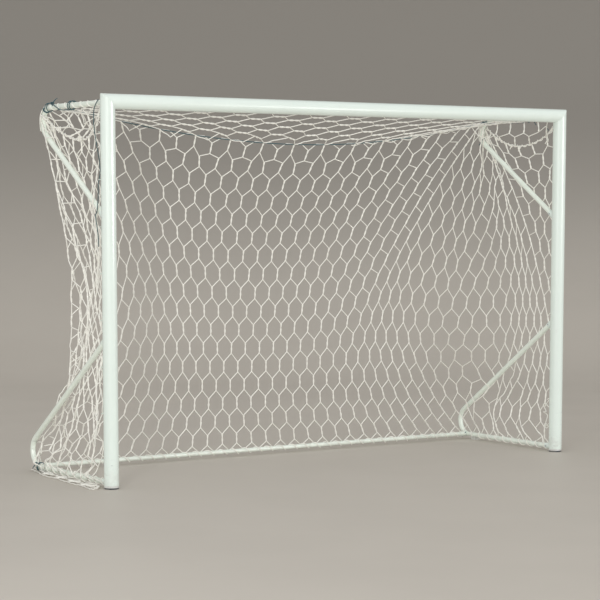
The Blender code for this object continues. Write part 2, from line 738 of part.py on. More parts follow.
clear_scene()
goal_parts = new_collection("futsal_goal")
goal_tools = new_collection("cutters")
white_paint = make_material("white_paint", WHITE, 0.25, 0.0)
net_cord = make_material("net_cord", CORD_WHITE, 0.8, 0.0)
teal_cord = make_material("teal_cord", TEAL, 0.7, 0.0)
black_rubber = make_material("black_rubber", RUBBER, 0.8, 0.0)
white_plastic = make_material("white_plastic", PLASTIC, 0.45, 0.0)
cast_metal = make_material("cast_metal", CASTING, 0.5, 1.0)
bright_steel = make_material("bright_steel", STEEL, 0.3, 1.0)

make_crossbar()
for label, hand in SIDES:
    make_post(label + "_post", hand)
    make_connector("corner_connector_" + label, hand)
    make_foot(label, hand)
    make_rear_foot(label, hand)
    make_hoop("upper_hoop_" + label, hand, upper_path(hand), upper_path(hand, 0.02),
              [top_screw_place(hand), upper_strut(hand).screw_place()], False)
    make_hoop("lower_hoop_" + label, hand, lower_path(hand), lower_path(hand, 0.02),
              [lower_strut(hand).screw_place(), ground_strut(hand).screw_place()], True)
    for piece, (seat, way) in zip(("post", "bar"), connector_screws(hand)):
        make_screw("connector_screw_%s_%s" % (piece, label), seat, way, FRAME_SCREW_RADIUS, FRAME_SCREW_LENGTH)
    inward = Vector((-hand, 0, 0))
    make_screw("hoop_screw_top_" + label, top_screw_place(hand) + inward * HOOP_RADIUS, inward,
               HOOP_SCREW_RADIUS, HOOP_SCREW_LENGTH)
    for piece, strut in (("upper", upper_strut(hand)), ("lower", lower_strut(hand)), ("ground", ground_strut(hand))):
        make_screw("hoop_screw_%s_%s" % (piece, label), strut.screw_place() + inward * SOCKET_RADIUS, inward,
                   HOOP_SCREW_RADIUS, HOOP_SCREW_LENGTH)
    make_screw("rear_bar_screw_" + label, bar_screw_place(hand), DOWN, HOOP_SCREW_RADIUS, HOOP_SCREW_LENGTH)
    make_wrap(label, hand)
    make_net("net_side_" + label, side_surface(hand), SIDE_COLUMNS, SIDE_ROWS)
make_rear_bar()
make_rope()
make_lacing()
make_net("net_back", back_surface, BACK_COLUMNS, BACK_ROWS)
make_net("net_top", top_surface, TOP_COLUMNS, TOP_ROWS, False)

goal_frame = bpy.data.objects.new("goal_frame", None)
goal_parts.objects.link(goal_frame)
goal_frame.location.y = -(rear_reach() - POST_RADIUS) / 2
for item in list(goal_parts.objects) + list(goal_tools.objects):
    if item is not goal_frame:
        item.parent = goal_frame
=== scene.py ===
"""Looks of the futsal goal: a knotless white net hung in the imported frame, with its rope, lacings and finishes.

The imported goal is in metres, +X along the mouth, +Y from the mouth to the back of the net, +Z up.
"""

import json
from math import acos, atan2, copysign, cos, exp, pi, radians, sin, tan

import bpy
import numpy as np
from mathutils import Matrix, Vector


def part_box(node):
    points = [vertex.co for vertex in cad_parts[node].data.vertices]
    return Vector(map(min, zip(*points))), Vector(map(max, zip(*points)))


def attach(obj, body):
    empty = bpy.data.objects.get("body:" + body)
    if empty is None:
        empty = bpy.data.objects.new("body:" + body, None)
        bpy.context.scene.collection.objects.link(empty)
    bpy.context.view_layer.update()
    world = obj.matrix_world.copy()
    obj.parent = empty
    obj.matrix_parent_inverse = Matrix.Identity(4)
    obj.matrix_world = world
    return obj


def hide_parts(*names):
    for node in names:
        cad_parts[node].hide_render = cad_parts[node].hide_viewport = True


bl_info = {
    "name": "Futsal goal looks",
    "version": (1, 0, 0),
    "blender": (4, 5, 0),
    "location": "View3D > Sidebar > Goal",
    "description": "Hangs the net, rope and lacings in the packed goal and gives every piece its finish",
    "category": "Object",
}

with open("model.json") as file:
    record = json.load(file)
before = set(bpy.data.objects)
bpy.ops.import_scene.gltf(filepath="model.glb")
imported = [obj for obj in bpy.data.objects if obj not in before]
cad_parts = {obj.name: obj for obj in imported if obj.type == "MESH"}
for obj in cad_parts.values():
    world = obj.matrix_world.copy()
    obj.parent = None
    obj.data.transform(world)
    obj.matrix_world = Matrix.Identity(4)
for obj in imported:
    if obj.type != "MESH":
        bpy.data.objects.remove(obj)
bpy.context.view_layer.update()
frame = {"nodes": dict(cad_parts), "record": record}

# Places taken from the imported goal. Depths are counted from the posts' axes to the back.
PAD_LOW, PAD_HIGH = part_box("foot_pad_right")
POST_X = (PAD_LOW[0] + PAD_HIGH[0]) / 2
FRONT = (PAD_LOW[1] + PAD_HIGH[1]) / 2
BAR_LOW, BAR_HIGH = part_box("rear_ground_bar")
BAR_DEPTH = (BAR_LOW[1] + BAR_HIGH[1]) / 2 - FRONT
BAR_HEIGHT = (BAR_LOW[2] + BAR_HIGH[2]) / 2
BAR_RADIUS = (BAR_HIGH[2] - BAR_LOW[2]) / 2
ROPE_LOW, ROPE_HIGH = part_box("rear_top_rope")
ROPE_HALF = (ROPE_HIGH[0] - ROPE_LOW[0]) / 2

# The hoops: heights of the level runs, depth of the corner, height of the strut's foot and radius of the bend
HOOP_RADIUS = 0.015
GROUND_RUN, UPPER_RUN = 0.030, 2.036
UPPER_CORNER, UPPER_FOOT, UPPER_BEND = 0.947, 1.438, 0.083
LOWER_CORNER, LOWER_FOOT, LOWER_BEND = 1.140, 0.795, 0.088
SEAT = 0.05
UPPER_SLOPE = (UPPER_RUN - UPPER_FOOT) / (UPPER_CORNER - SEAT)
LOWER_SLOPE = (LOWER_FOOT - GROUND_RUN) / (LOWER_CORNER - SEAT)


def bend_depth(rise, corner, radius):
    """Depth of a bend's centre, between a level run and a strut with that rise."""
    return corner - radius / tan(atan2(rise, corner - SEAT) / 2)


UPPER_CENTRE = bend_depth(UPPER_RUN - UPPER_FOOT, UPPER_CORNER, UPPER_BEND)
LOWER_CENTRE = bend_depth(LOWER_FOOT - GROUND_RUN, LOWER_CORNER, LOWER_BEND)

# The rope, and where the back net is tied to it along the mouth
ROPE_DEPTH, ROPE_HEIGHT, ROPE_SAG, ROPE_PULL = 0.7135, 2.0245, 0.165, 0.070
ROPE_LIFTS = ((-1, -0.95, -0.886, -0.736, -0.57, -0.267, 0, 0.26, 1),
              (0, 0.02, 0.03, 0.027, 0.02, 0.01, 0.002, -0.002, 0))
ROPE_TIES = (-1.334, -1.094, -0.851, -0.623, -0.393, -0.169, 0.044, 0.262, 0.490, 0.706, 0.928, 1.165, 1.416)
ROPE_TURN, ROPE_TURNS, ROPE_PITCH = 60, 2.0, 0.0066

# Columns of the wrapped sheet, counted in half cells from the left post to the right post
SIDE_CELLS, BACK_CELLS = 9, 31
SHEET_HALVES = 2 * (2 * SIDE_CELLS + BACK_CELLS)
SHEET_LINES = 18
SEAM_LEFT, SEAM_RIGHT = 11, 89
BEND_LEFT, BEND_RIGHT = 22, 74
CORNER_LEFT, CORNER_RIGHT = 19, 79
FIRST_TIE, TIE_STEP = 25, 4
TOP_LINES, TOP_HALVES = 29, 10

# Spare length of the cells near the corners, and how uneven they are, more so low down at the sides
SLACK_LEFT, SLACK_RIGHT = 0.13, 0.07
UNEVEN, LOOSE_UNEVEN, LOOSE_LONGER, LOOSE_BELOW = 0.03, 0.06, 0.03, 11

# The sheet's borders: the posts' hooks, the seams with the top panel, and its place inside the left lower hoop
EDGE_DEPTH, EDGE_FOOT, EDGE_OUT = 0.060, 0.045, 0.0175
SEAM_START, SEAM_END, SEAM_SAG = {-1: 1.955, 1: 1.985}, 2.000, 0.49
FOOT_DEPTH, FOOT_OUT = 0.055, 0.022
CROSS_HEIGHT, INNER_DEPTH, INNER_OUT = 1.70, 0.060, 0.026

# Lines tied at the left rear corner: behind the strut at a height, and in its bend, turned up by degrees
STRUT_TIES = ((13, 0.41), (14, 0.29))
BEND_TIES = ((15, 118), (16, 62))

# Least widths of the cells in the free rows, by column, and how firmly they are kept
WIDTH_COLUMNS = (0, 10, 16, 22, 28, 36, 60, 74, 80, 84, 98)
WIDTHS = (0.075, 0.068, 0.068, 0.070, 0.094, 0.100, 0.094, 0.098, 0.080, 0.060, 0.070)
TOP_WIDTH = 0.100
SOFT, FIRM = 0.06, 0.15

# A moving node keeps this share of its speed, and none hangs lower than this
KEPT_SPEED, LEAST_HEIGHT = 0.96, 0.008

# Small pulls in and forward at the two rear folds: strength, columns across, lines, shares there, direction
PULLS = ((0.0007, CORNER_LEFT, 5.0, (0, 3, 8, 10, 12, 13), (0.0, 1.0, 1.0, 1.7, 1.7, 0.0), (0.835, -0.55, 0.0)),
         (0.0001, CORNER_RIGHT, 6.0, (0, 2, 12, 15), (0.0, 1.0, 1.0, 0.0), (0.75, -0.66, 0.0)))

# How cords lie: shares of a turn round their neighbour, on the hoops, over the floor, and points for each turn
TWIST = (0.0, 0.12, 0.25, 0.38, 0.50, 0.62, 0.75, 0.88, 1.0)
ON_HOOP = 0.0185
OVER_FLOOR = 0.0003
WIND_POINTS, LOOSE_WIND_POINTS = 14, 12

# The camera, fitted to the frame's corners, and the studio
CAMERA_SPOT = (-6.6158, FRONT - 9.5372, 1.4793)
CAMERA_TURN, CAMERA_DIP = 0.5821, 0.1139
FOCAL_PIXELS, PICTURE_PIXELS, LEVEL_ROW, SENSOR = 2037.25, 600.0, 442.54, 36.0
FLOOR_HALF, SWEEP_START, SWEEP_RADIUS, WALL_HEIGHT = 30.0, 5.0, 5.0, 16.0

# Kinds of cord: facets, slot and finish. Finishes: colour, plies, lay, cross, roughness, soil, its share, bump
CORDS = {"cord": (5, "net_cord", "white_net_cord"), "rope": (8, "tie_cord", "teal_tie_cord"),
         "lacing": (6, "tie_cord", "teal_tie_cord")}
CORD_LOOKS = {"white_net_cord": ("net_white", 2.0, 0.011, 0.0, 0.62, (0.74, 0.70, 0.60), 0.22, 0.4),
              "teal_tie_cord": ("tie_teal", 4.0, 0.010, 1.0, 0.55, (0.05, 0.12, 0.12), 0.35, 0.6)}


def place(x, depth, z):
    """A point from its depth behind the posts' axes."""
    return np.array((x, FRONT + depth, z))


def unit(vector):
    return vector / max(np.linalg.norm(vector), 1e-9)


def lengths_along(points):
    """How far along a path each of its points lies."""
    return np.concatenate(((0.0,), np.cumsum(np.linalg.norm(np.diff(points, axis=0), axis=1))))


# ---- settings

def size_of(name, default, description):
    return bpy.props.FloatProperty(name=name, description=description, default=default, unit="LENGTH")


def colour_of(name, default, description):
    return bpy.props.FloatVectorProperty(name=name, description=description, subtype="COLOR",
                                         size=3, min=0, max=1, default=default)


class GoalNetSettings(bpy.types.PropertyGroup):
    cell_side: size_of("Cell side", 0.0655, "Side of a cell in the wrapped sheet")
    top_cell_side: size_of("Top cell side", 0.0755, "Side of a cell in the top panel")
    cord_diameter: size_of("Net cord", 0.0060, "Diameter of the net's cord")
    rope_diameter: size_of("Rope", 0.006, "Diameter of the rope along the top of the back net")
    lacing_diameter: size_of("Lacing", 0.0052, "Diameter of the teal lacing cord")


class GoalColourSettings(bpy.types.PropertyGroup):
    frame_white: colour_of("Frame", (0.80, 0.89, 0.83), "Powder coat of the posts and the crossbar")
    # Painted light: the hoops' white powder coat is set lighter than the frame's, standing in for brighter light
    # on the struts.
    hoop_white_with_painted_light: colour_of("Hoops", (0.87, 0.94, 0.85), "Powder coat of the hoops and the ground bar")
    net_white: colour_of("Net", (0.94, 0.93, 0.86), "Colour of the net's cord")
    tie_teal: colour_of("Ties", (0.014, 0.075, 0.090), "Colour of the dark tie cord")
    floor: colour_of("Floor", (0.58, 0.54, 0.48), "Colour of the studio floor")


# ---- finishes

class Wiring:
    """Short hand for one node tree."""

    def __init__(self, tree):
        self.tree = tree

    def add(self, kind, **values):
        node = self.tree.nodes.new(kind)
        for key, value in values.items():
            setattr(node, key, value)
        return node

    def join(self, source, target):
        self.tree.links.new(source, target)

    def put(self, value, socket):
        if isinstance(value, bpy.types.NodeSocket):
            self.join(value, socket)
        else:
            socket.default_value = value

    def fill(self, node, **values):
        """Sets or joins a node's inputs, whose names have _ for each space."""
        for label, value in values.items():
            self.put(value, node.inputs[label.replace("_", " ")])
        return node.outputs

    def math(self, operation, a, b=0.0, clamp=False):
        node = self.add("ShaderNodeMath", operation=operation, use_clamp=clamp)
        self.put(a, node.inputs[0])
        self.put(b, node.inputs[1])
        return node.outputs[0]

    def times(self, a, b, clamp=False):
        return self.math("MULTIPLY", a, b, clamp)

    def ramp(self, value, low, high, low_out=0.0, high_out=1.0):
        node = self.add("ShaderNodeMapRange", interpolation_type="SMOOTHSTEP")
        for item, socket in zip((value, low, high, low_out, high_out), node.inputs):
            self.put(item, socket)
        return node.outputs[0]

    def spot(self):
        return self.add("ShaderNodeTexCoord").outputs["Object"]

    def split(self, vector):
        node = self.add("ShaderNodeSeparateXYZ")
        self.join(vector, node.inputs[0])
        return node.outputs

    def stretch(self, vector, scale):
        return self.fill(self.add("ShaderNodeMapping"), Scale=scale, Vector=vector)["Vector"]

    def noise(self, vector, scale, detail, rough):
        node = self.add("ShaderNodeTexNoise")
        return self.fill(node, Vector=vector, Scale=scale, Detail=detail, Roughness=rough)["Fac"]

    def mix(self, factor, first, second):
        node = self.add("ShaderNodeMix", data_type="RGBA")
        return self.fill(node, Factor=factor, A=first, B=second)["Result"]

    def tint(self, mask, share, first, second):
        """The second colour laid on the first where the mask is, at most by that share."""
        return self.mix(self.times(mask, share), first, second)

    def bump(self, shader, height, strength, distance):
        bump = self.fill(self.add("ShaderNodeBump"), Strength=strength, Distance=distance, Height=height)
        self.join(bump["Normal"], shader.inputs["Normal"])


def new_group(name, inputs, outputs):
    """An empty node group with named values going in and coming out."""
    tree = bpy.data.node_groups.new(name, "ShaderNodeTree")
    for label, default in inputs:
        socket = tree.interface.new_socket(label, in_out="INPUT", socket_type="NodeSocketFloat")
        socket.default_value = default
    for label in outputs:
        tree.interface.new_socket(label, in_out="OUTPUT", socket_type="NodeSocketFloat")
    wiring = Wiring(tree)
    return wiring, wiring.add("NodeGroupInput").outputs, wiring.add("NodeGroupOutput")


def coat_texture_group():
    """Powder coat: a fine orange peel, slow unevenness and faint rubbed patches."""
    w, given, out = new_group(
        "coat_texture", (("Peel Scale", 420.0), ("Patch Scale", 5.0)), ("Peel", "Patch", "Rub"))
    spot = w.spot()
    streak = w.noise(w.stretch(spot, (9.0, 9.0, 1.6)), 6.0, 6.0, 0.65)
    w.fill(out, Peel=w.noise(spot, given["Peel Scale"], 2.0, 0.45),
           Patch=w.ramp(w.noise(spot, given["Patch Scale"], 4.0, 0.6), 0.35, 0.65),
           Rub=w.ramp(streak, 0.60, 0.74))
    return w.tree


def floor_dust_group():
    """Dust and shoe marks that thin out above the floor."""
    w, given, out = new_group("floor_dust", (("Reach", 0.16),), ("Dust", "Marks"))
    spot = w.spot()
    height = w.split(spot)["Z"]
    cloud = w.ramp(w.noise(spot, 22.0, 5.0, 0.6), 0.30, 0.70)
    scrape = w.ramp(w.noise(w.stretch(spot, (14.0, 14.0, 90.0)), 1.0, 5.0, 0.7), 0.62, 0.70)
    w.fill(out, Dust=w.times(w.ramp(height, 0.0, given["Reach"], 1.0, 0.0), cloud, True),
           Marks=w.times(scrape, w.ramp(height, 0.05, 0.55, 1.0, 0.0), True))
    return w.tree


def cord_lay_group():
    """The lay of a twisted or braided cord, drawn along the cord's own UV map."""
    w, given, out = new_group(
        "cord_lay", (("Plies", 3.0), ("Lay Length", 0.012), ("Cross", 0.0)), ("Ridge", "Groove", "Fuzz"))
    across = w.split(w.add("ShaderNodeUVMap", uv_map="UVMap").outputs["UV"])
    round_it = w.times(across["X"], given["Plies"])
    along = w.math("DIVIDE", across["Y"], given["Lay Length"])
    ridges = []
    for sign in ("ADD", "SUBTRACT"):
        turn = w.times(w.math(sign, round_it, along), 2 * pi)
        ridges.append(w.math("ABSOLUTE", w.math("SINE", w.times(turn, 0.5))))
    crossed = w.math("MAXIMUM", ridges[0], w.times(ridges[1], given["Cross"]))
    # The groove output marks where the grooves between the plies lie; it is used as painted shade in the cord's
    # colour.
    w.fill(out, Ridge=crossed, Groove=w.ramp(crossed, 0.0, 0.55, 1.0, 0.0),
           Fuzz=w.noise(w.spot(), 900.0, 3.0, 0.7))
    return w.tree


def soil_group():
    """Slow yellowing and greying from handling, in patches."""
    w, given, out = new_group("soil", (("Scale", 3.0),), ("Soil",))
    w.fill(out, Soil=w.ramp(w.noise(w.spot(), given["Scale"], 5.0, 0.62), 0.42, 0.72))
    return w.tree


def grain_group():
    """Moulded or cast grain."""
    w, given, out = new_group("moulded_grain", (("Scale", 300.0),), ("Grain", "Blotch"))
    spot = w.spot()
    w.fill(out, Grain=w.noise(spot, given["Scale"], 4.0, 0.6),
           Blotch=w.ramp(w.noise(spot, 35.0, 4.0, 0.6), 0.35, 0.7))
    return w.tree


GROUP_MAKERS = {"coat_texture": coat_texture_group, "floor_dust": floor_dust_group, "cord_lay": cord_lay_group,
                "soil": soil_group, "moulded_grain": grain_group}


def shade_with(wiring, name, **values):
    """Places a shared group in a material with its own values."""
    tree = bpy.data.node_groups.get(name) or GROUP_MAKERS[name]()
    return wiring.fill(wiring.add("ShaderNodeGroup", node_tree=tree), **values)


def new_finish(name):
    material = bpy.data.materials.new(name)
    material.use_nodes = True
    return material, Wiring(material.node_tree), material.node_tree.nodes["Principled BSDF"]


def darker(colour, by=1.0):
    return (colour[0] * by, colour[1] * by, colour[2] * by, 1.0)


def powder_coat(name, colour, roughness, peel):
    """White powder coat with orange peel, rubbed patches, dust and shoe marks near the floor."""
    material, w, shader = new_finish(name)
    coat = shade_with(w, "coat_texture", Peel_Scale=peel, Patch_Scale=4.0)
    dust = shade_with(w, "floor_dust", Reach=0.16)
    base = darker(colour)
    for mask, share, over in ((coat["Patch"], 0.55, darker(colour, 0.955)),
                              (coat["Rub"], 0.30, darker((0.62, 0.63, 0.60), 0.9)),
                              (dust["Dust"], 0.35, (0.46, 0.43, 0.38, 1.0)),
                              (dust["Marks"], 0.55, (0.20, 0.20, 0.20, 1.0))):
        base = w.tint(mask, share, base, over)
    for mask, rougher in ((coat["Patch"], 0.06), (coat["Rub"], 0.18), (dust["Dust"], 0.30)):
        roughness = w.math("ADD", roughness, w.times(mask, rougher))
    w.fill(shader, Base_Color=base, Roughness=roughness, Coat_Weight=0.25, Coat_Roughness=0.12)
    w.bump(shader, coat["Peel"], 0.10, 0.0004)
    return material


def cord_finish(name):
    """A twisted or braided cord with fibres, painted shade in the grooves between its plies, and soiled
    stretches.
    """
    setting, plies, lay_length, cross, roughness, soil_colour, soil_share, bump = CORD_LOOKS[name]
    colour = getattr(bpy.context.scene.goal_colours, setting)
    material, w, shader = new_finish(name)
    lay = shade_with(w, "cord_lay", Plies=plies, Lay_Length=lay_length, Cross=cross)
    soil = shade_with(w, "soil", Scale=2.6)["Soil"]
    base = w.tint(soil, soil_share, darker(colour), (*soil_colour, 1.0))
    # Painted shade: the grooves between the plies are darkened in the colour.
    base = w.tint(lay["Groove"], 0.40, base, darker(colour, 0.68))
    base = w.mix(w.ramp(lay["Fuzz"], 0.45, 0.75, 0.0, 0.25), base, darker(colour, 1.08))
    w.fill(shader, Base_Color=base, Roughness=w.ramp(lay["Fuzz"], 0.2, 0.8, roughness - 0.08, roughness + 0.10),
           Sheen_Weight=0.35, Sheen_Roughness=0.5)
    w.bump(shader, w.math("ADD", lay["Ridge"], w.times(lay["Fuzz"], 0.35)), bump, 0.0008)
    return material


def moulded(name, colour, roughness, grain, metallic=0.0, dusty=0.0):
    """Moulded plastic or rubber, or plain metal, with its grain and some dust near the floor."""
    material, w, shader = new_finish(name)
    made = shade_with(w, "moulded_grain", Scale=grain)
    dust = shade_with(w, "floor_dust", Reach=0.05)
    base = w.tint(made["Blotch"], 0.6, darker(colour), darker(colour, 0.78))
    base = w.tint(dust["Dust"], dusty, base, (0.42, 0.40, 0.36, 1.0))
    w.fill(shader, Base_Color=base, Metallic=metallic,
           Roughness=w.ramp(made["Blotch"], 0.0, 1.0, roughness - 0.06, roughness + 0.10))
    w.bump(shader, made["Grain"], 0.25, 0.0005)
    return material


class GOAL_OT_finish_frame(bpy.types.Operator):
    """Gives the tubes, castings, screws and feet their finishes"""
    bl_idname = "goal.finish_frame"
    bl_label = "Finish the frame"

    def execute(self, context):
        colours = context.scene.goal_colours
        finishes = {
            "frame_paint": powder_coat("frame_powder_coat", colours.frame_white, 0.20, 420.0),
            # The hoops' coat is real white powder coat, made whiter than the frame's as painted light on the
            # struts.
            "hoop_paint": powder_coat("hoop_powder_coat", colours.hoop_white_with_painted_light, 0.30, 520.0),
            "casting": moulded("corner_casting", (0.50, 0.51, 0.53), 0.45, 260.0, metallic=1.0),
            "screw_steel": moulded("zinc_plated_screw", (0.62, 0.63, 0.66), 0.28, 900.0, metallic=1.0),
            "foot_plastic": moulded("white_foot_plug", (0.74, 0.76, 0.73), 0.42, 340.0, dusty=0.5),
            "foot_rubber": moulded("dark_foot_rubber", (0.018, 0.028, 0.040), 0.70, 480.0, dusty=0.35),
        }
        pale_rubber = moulded("pale_foot_rubber", (0.60, 0.61, 0.57), 0.62, 480.0, dusty=0.35)
        for row in frame["record"]["subparts"]:
            finish = pale_rubber if row["node"].startswith("rear_foot") else finishes.get(row["material_slot"])
            if finish:
                for slot in frame["nodes"][row["node"]].material_slots:
                    slot.material = finish
        return {"FINISHED"}


# ---- cords as swept tubes

def spin_frames(points):
    """A steady pair of cross directions along a path."""
    along = np.gradient(points, axis=0)
    along /= np.maximum(np.linalg.norm(along, axis=1), 1e-9)[:, None]
    start = np.array((0.0, 0.0, 1.0)) if abs(along[0][2]) < 0.9 else np.array((1.0, 0.0, 0.0))
    sides = [unit(np.cross(along[0], start))]
    for tangent in along[1:]:
        sides.append(unit(sides[-1] - tangent * (sides[-1] @ tangent)))
    sides = np.array(sides)
    return sides, np.cross(along, sides)


def lay(kind, name, paths, *nodes):
    """A piece of round cords over the floor, with closed ends and a UV map round and along each cord.

    It rides on the goal and stands for the solids that are named.
    """
    facets, slot, finish = CORDS[kind]
    verts, faces, uvs, first = [], [], [], 0
    radius = getattr(bpy.context.scene.goal_net, kind + "_diameter") / 2
    angle = np.arange(facets) / facets * 2 * pi
    ring = np.stack((np.cos(angle), np.sin(angle)), 1)
    for path in paths:
        path = np.array(path, float)
        path[:, 2] = np.maximum(path[:, 2], radius + OVER_FLOOR)
        count = len(path)
        side, up = spin_frames(path)
        rings = path[:, None] + radius * (ring[None, :, :1] * side[:, None] + ring[None, :, 1:] * up[:, None])
        verts.append(rings.reshape(-1, 3))
        length = lengths_along(path)
        for i in range(count - 1):
            low = first + i * facets
            high = low + facets
            for j in range(facets):
                k = (j + 1) % facets
                faces.append((low + j, low + k, high + k, high + j))
                uvs += [(u / facets, length[v]) for u, v in ((j, i), (j + 1, i), (j + 1, i + 1), (j, i + 1))]
        for row, order in ((0, range(facets)[::-1]), (count - 1, range(facets))):
            faces.append(tuple(first + row * facets + j for j in order))
            uvs += [(j / facets, length[row]) for j in order]
        first += count * facets
    mesh = bpy.data.meshes.new(name)
    mesh.from_pydata(np.concatenate(verts).tolist(), [], faces)
    layer = mesh.uv_layers.new(name="UVMap")
    layer.data.foreach_set("uv", np.array(uvs, dtype=np.float32).ravel())
    mesh.shade_smooth()
    mesh.materials.append(bpy.data.materials.get(finish) or cord_finish(finish))
    obj = bpy.data.objects.new(name, mesh)
    bpy.context.scene.collection.objects.link(obj)
    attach(obj, "root")
    if nodes:
        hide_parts(*nodes)
    return obj


def smooth_path(points, steps):
    """A Catmull-Rom curve through the points."""
    points = np.asarray(points, float)
    ends = np.concatenate((2 * points[:1] - points[1:2], points, 2 * points[-1:] - points[-2:-1]))
    out = []
    for a, b, c, d in zip(ends[:-3], ends[1:-2], ends[2:-1], ends[3:]):
        for t in np.arange(steps) / steps:
            out.append(0.5 * (2 * b + (c - a) * t + (2 * a - 5 * b + 4 * c - d) * t ** 2
                              + (3 * b - a - 3 * c + d) * t ** 3))
    out.append(points[-1])
    return np.array(out)


# ---- the frame's tubes, which the net lies against

def bent_line(start, corner, end, radius, steps=10):
    """The centre line of a bent tube."""
    back, onward = unit(start - corner), unit(end - corner)
    half = acos(float(back @ onward)) / 2
    centre = corner + unit(back + onward) * (radius / sin(half))
    first = corner + back * (radius / tan(half)) - centre
    last = corner + onward * (radius / tan(half)) - centre
    turn = pi - 2 * half
    arc = [centre + (first * sin(turn * (1 - t)) + last * sin(turn * t)) / sin(turn)
           for t in np.linspace(0, 1, steps + 1)]
    return np.array([start] + arc + [end])


def hoop_lines(side):
    """The centre lines of one side's upper and lower hoops."""
    x = side * POST_X
    upper = bent_line(place(x, 0.04, UPPER_RUN), place(x, UPPER_CORNER, UPPER_RUN),
                      place(x, SEAT, UPPER_FOOT + UPPER_SLOPE * 0.01), UPPER_BEND)
    lower = bent_line(place(x, SEAT, LOWER_FOOT - LOWER_SLOPE * 0.01), place(x, LOWER_CORNER, GROUND_RUN),
                      place(x, SEAT, GROUND_RUN), LOWER_BEND)
    return upper, lower


class Tubes:
    """The hoops as straight stretches, to keep cords outside them."""

    def __init__(self):
        lines = [line for side in (-1, 1) for line in hoop_lines(side)]
        self.start = np.concatenate([line[:-1] for line in lines])
        self.run = np.concatenate([line[1:] - line[:-1] for line in lines])
        self.size = np.einsum("ij,ij->i", self.run, self.run)

    def push(self, points, reach):
        """Moves points that are nearer than reach to a tube's centre line straight out of it."""
        share = np.einsum("pij,ij->pi", points[:, None] - self.start[None], self.run) / self.size
        near = self.start[None] + np.clip(share, 0, 1)[..., None] * self.run[None]
        away = points[:, None] - near
        far = np.linalg.norm(away, axis=2)
        nearest = np.argmin(far, axis=1)
        rows = np.arange(len(points))
        far = far[rows, nearest]
        hit = far < reach
        out = points.copy()
        outward = away[rows, nearest][hit] / np.maximum(far[hit], 1e-9)[:, None]
        out[hit] = near[rows, nearest][hit] + outward * reach
        return out, hit


# ---- the net as a lattice of cords

class Lattice:
    """Zigzag lines of a knotless net, with a twin side from each low corner down to the next line."""

    def __init__(self, lines, halves, cell_side, draw, parity):
        self.lines, self.parity = lines, parity
        index = np.arange(lines * (halves + 1)).reshape(lines, halves + 1)
        line, half = np.meshgrid(np.arange(lines), np.arange(halves + 1), indexing="ij")
        evens = half[:, :-1] % 2 == 0
        self.groups = [(index[:, :-1][chosen], index[:, 1:][chosen]) for chosen in (evens, ~evens)]
        chosen = ((line + half) % 2 == parity)[:-1]
        self.groups.append((index[:-1][chosen], index[1:][chosen]))
        self.lengths = []
        wrapped = halves == SHEET_HALVES
        for first, _ in self.groups:
            line_at, half_at = first // (halves + 1), first % (halves + 1)
            loose = wrapped * (line_at > LOOSE_BELOW) * ((half_at < CORNER_LEFT) | (half_at > CORNER_RIGHT))
            uneven = (UNEVEN + LOOSE_UNEVEN * loose) * draw.uniform(-1, 1, len(first))
            uneven = 1 + uneven + LOOSE_LONGER * loose
            slack = 1 + SLACK_LEFT * np.exp(-((half_at - CORNER_LEFT) / 7.0) ** 2) * wrapped
            slack += SLACK_RIGHT * np.exp(-((half_at - CORNER_RIGHT + 6) / 12.0) ** 2) * wrapped
            self.lengths.append(cell_side * uneven * slack)
        self.seconds = (index[:, :-2].ravel(), index[:, 2:].ravel())

    def strands(self):
        return np.concatenate([np.stack(pair, 1) for pair in self.groups])

    def cord_path(self, points, half, cord):
        """One cord of the net: down between two columns, laid round its neighbour on each twin side."""
        path = [points[0, half + 1 if (half % 2 == self.parity) else half]]
        for line in range(self.lines):
            low = half if (half + line) % 2 == self.parity else half + 1
            end = points[line, low]
            if line == self.lines - 1:
                path += [path[-1] * 0.5 + end * 0.5, end]
                break
            run = points[line + 1, low] - end
            across = points[line, half + 1] - points[line, half]
            across = unit(across - run * (across @ run) / max(run @ run, 1e-9))
            through = unit(np.cross(run, across))
            begin = 0.0 if low == half else pi
            turns = [begin + 2 * pi * share for share in TWIST]
            laid = [end + run * share + 0.40 * cord * (across * cos(turn) + through * sin(turn))
                    for share, turn in zip(TWIST, turns)]
            path += [path[-1] * 0.5 + laid[0] * 0.5] + laid
        return np.array(path)


def hang(lattice, points, tied, steps, widths, tubes=None, near=None, soften=0.0, pull=0.0, firm=SOFT):
    """Lets the net hang: its strands can't stretch, its cells stay open, and it stays outside the tubes."""
    shape, points, free = points.shape, points.reshape(-1, 3), ~tied.ravel()
    points = relax(lattice, points, free, steps, 6, 0.0009, widths, tubes, near, soften, pull, firm)
    points = relax(lattice, points, free, 40, 30, 0.0002, widths, tubes, near, 0.0, pull * 0.22, firm)
    return points.reshape(shape)


